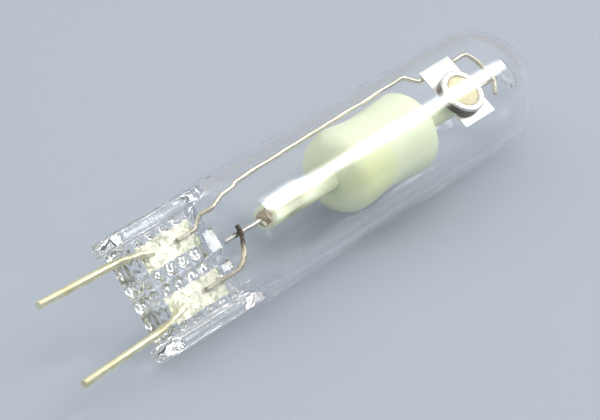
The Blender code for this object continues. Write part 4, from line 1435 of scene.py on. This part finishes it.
@dataclass
class Studio:
    """The floor, the lights, the world and the camera."""

    camera_place: Point = (-0.198237, -0.160509, 0.151179)
    camera_right: Point = (0.6304759, -0.77619677, -0.00432461)
    camera_up: Point = (0.3880262, 0.3103442, 0.8678261)
    lens: float = 165.34
    floor_size: float = 6.0
    floor_colour: Colour = (0.50, 0.55, 0.62)
    world_dim: Colour = (0.20, 0.21, 0.23)
    world_pale: Colour = (0.50, 0.51, 0.53)
    world_high: Colour = (1.05, 1.05, 1.05)
    behind_lamp: Point = (0.77, 0.63, 0.0)
    lights: tuple[Softbox, ...] = (
        Softbox("key_softbox", (0.705, -0.36, 0.62), 0.60, 0.115, 0.25, 1.15, (1.0, 0.99, 0.97), 0.75, 0.0),
        Softbox("key_head", (0.645, -0.34, 0.68), 0.60, 0.04, 0.32, 0.4, (1.0, 0.99, 0.97), 0.3, 0.1),
        Softbox("wing_softbox", (0.625, -0.612, 0.475), 0.60, 0.07, 0.13, 0.10, (1.0, 0.99, 0.95), 0.5, 0.5),
        Softbox("pin_softbox", (0.567, -0.605, 0.558), 0.60, 0.06, 0.28, 0.40, (1.0, 0.99, 0.95), 0.5, 0.2),
        Softbox("front_softbox", (-0.309, -0.743, 0.592), 0.60, 0.08, 0.08, 0.32, (1.0, 1.0, 0.97), 0.6, 0.6),
        Softbox("fill_softbox", (-0.30, -0.88, 0.36), 0.7, 0.50, 0.30, 0.9),
        Softbox("back_softbox", (-0.35, 0.80, 0.49), 0.7, 0.60, 0.45, 1.4),
    )

    def build(self) -> None:
        """Builds the floor, the world, the lights and the camera."""
        self.build_camera()
        self.build_floor()
        self.build_world()
        for light in self.lights:
            self.build_light(light)

    def put(self, name: str, data: bpy.types.ID) -> bpy.types.Object:
        """Puts a new object into the scene.

        Args:
            name: The object's name.
            data: Its camera, mesh or light.

        Returns:
            The object.
        """
        obj = bpy.data.objects.new(name, data)
        bpy.context.scene.collection.objects.link(obj)
        return obj

    def build_camera(self) -> None:
        """The camera at the photograph's viewing angle."""
        data = bpy.data.cameras.new("camera")
        data.lens = self.lens
        data.sensor_width = 36.0
        data.clip_start = 0.01
        data.clip_end = 20.0
        camera = self.put("camera", data)
        right, up = Vector(self.camera_right), Vector(self.camera_up)
        turn = Matrix((right, up, right.cross(up))).transposed()
        camera.matrix_world = Matrix.Translation(self.camera_place) @ turn.to_4x4()
        bpy.context.scene.camera = camera

    def build_floor(self) -> None:
        """The plain pale floor."""
        bm = bmesh.new()
        bmesh.ops.create_grid(bm, x_segments=1, y_segments=1, size=self.floor_size / 2)
        mesh = bpy.data.meshes.new("floor")
        bm.to_mesh(mesh)
        bm.free()
        material = bpy.data.materials.new("pale_floor")
        material.use_nodes = True
        shader = material.node_tree.nodes["Principled BSDF"]
        shader.inputs["Base Color"].default_value = (*self.floor_colour, 1.0)
        shader.inputs["Roughness"].default_value = 0.9
        shader.inputs["Specular IOR Level"].default_value = 0.2
        mesh.materials.append(material)
        floor = self.put("floor", mesh)

    def build_world(self) -> None:
        """A grey room that is brighter overhead than at the sides, and brighter behind the lamp."""
        world = bpy.data.worlds.new("grey_room")
        world.use_nodes = True
        bpy.context.scene.world = world
        world.node_tree.nodes.clear()
        sheet = Sheet(world.node_tree)
        way = sheet.add("TexCoord").outputs["Generated"]
        up = sheet.add("SeparateXYZ", {0: way}).outputs["Z"]
        beyond = sheet.vector("DOT_PRODUCT", way, self.behind_lamp, "Value")
        sides = sheet.mix(sheet.ramp(beyond, -0.2, 0.6), self.world_dim, self.world_pale)
        room = sheet.mix(sheet.ramp(up, 0.3, 0.95), sides, self.world_high)
        seen = sheet.add("LightPath").outputs["Is Camera Ray"]
        background = sheet.add("Background", {"Color": sheet.mix(seen, room, self.floor_colour)})
        sheet.add("OutputWorld", {"Surface": background.outputs[0]})

    def build_light(self, light: Softbox) -> None:
        """One softbox.

        Args:
            light: Its place, size and power.
        """
        data = bpy.data.lights.new(light.name, "AREA")
        data.shape = "RECTANGLE"
        data.size, data.size_y = light.along, light.across
        data.energy = light.power
        data.color = light.colour
        data.use_nodes = True
        data.node_tree.nodes.clear()
        sheet = Sheet(data.node_tree)
        place = sheet.add("SeparateXYZ", {0: sheet.add("NewGeometry").outputs["Parametric"]}).outputs
        fades = [
            sheet.ramp(sheet.math("ABSOLUTE", sheet.math("SUBTRACT", side, 0.5)), 0.5 * core, 0.5, 1.0, 0.0)
            for side, core in ((place["X"], light.core_along), (place["Y"], light.core_across))
        ]
        glow = sheet.add("Emission", {"Strength": sheet.times(*fades)})
        sheet.add("OutputLight", {"Surface": glow.outputs[0]})
        away = Vector(light.towards).normalized()
        across = away.cross(Vector((1.0, 0.0, 0.0))).normalized()
        turn = Matrix((across.cross(away), across, away)).transposed()
        self.put(light.name, data).matrix_world = Matrix.Translation(away * light.distance) @ turn.to_4x4()


def main() -> None:
    """Loads the frame, and builds every sub-assembly and the studio."""
    logging.basicConfig(level=logging.INFO, format="%(message)s")
    bpy.context.scene.view_settings.view_transform = "Standard"
    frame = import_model()
    shop = Workshop(Effects())
    Studio().build()
    OuterBulb(shop).build()
    Pinch(shop).build()
    Wires(shop).build()
    ArcTube(shop).build()
    Getter(shop).build()
    InnerPieces(shop).dress(frame["nodes"])


if __name__ == "__main__":
    main()
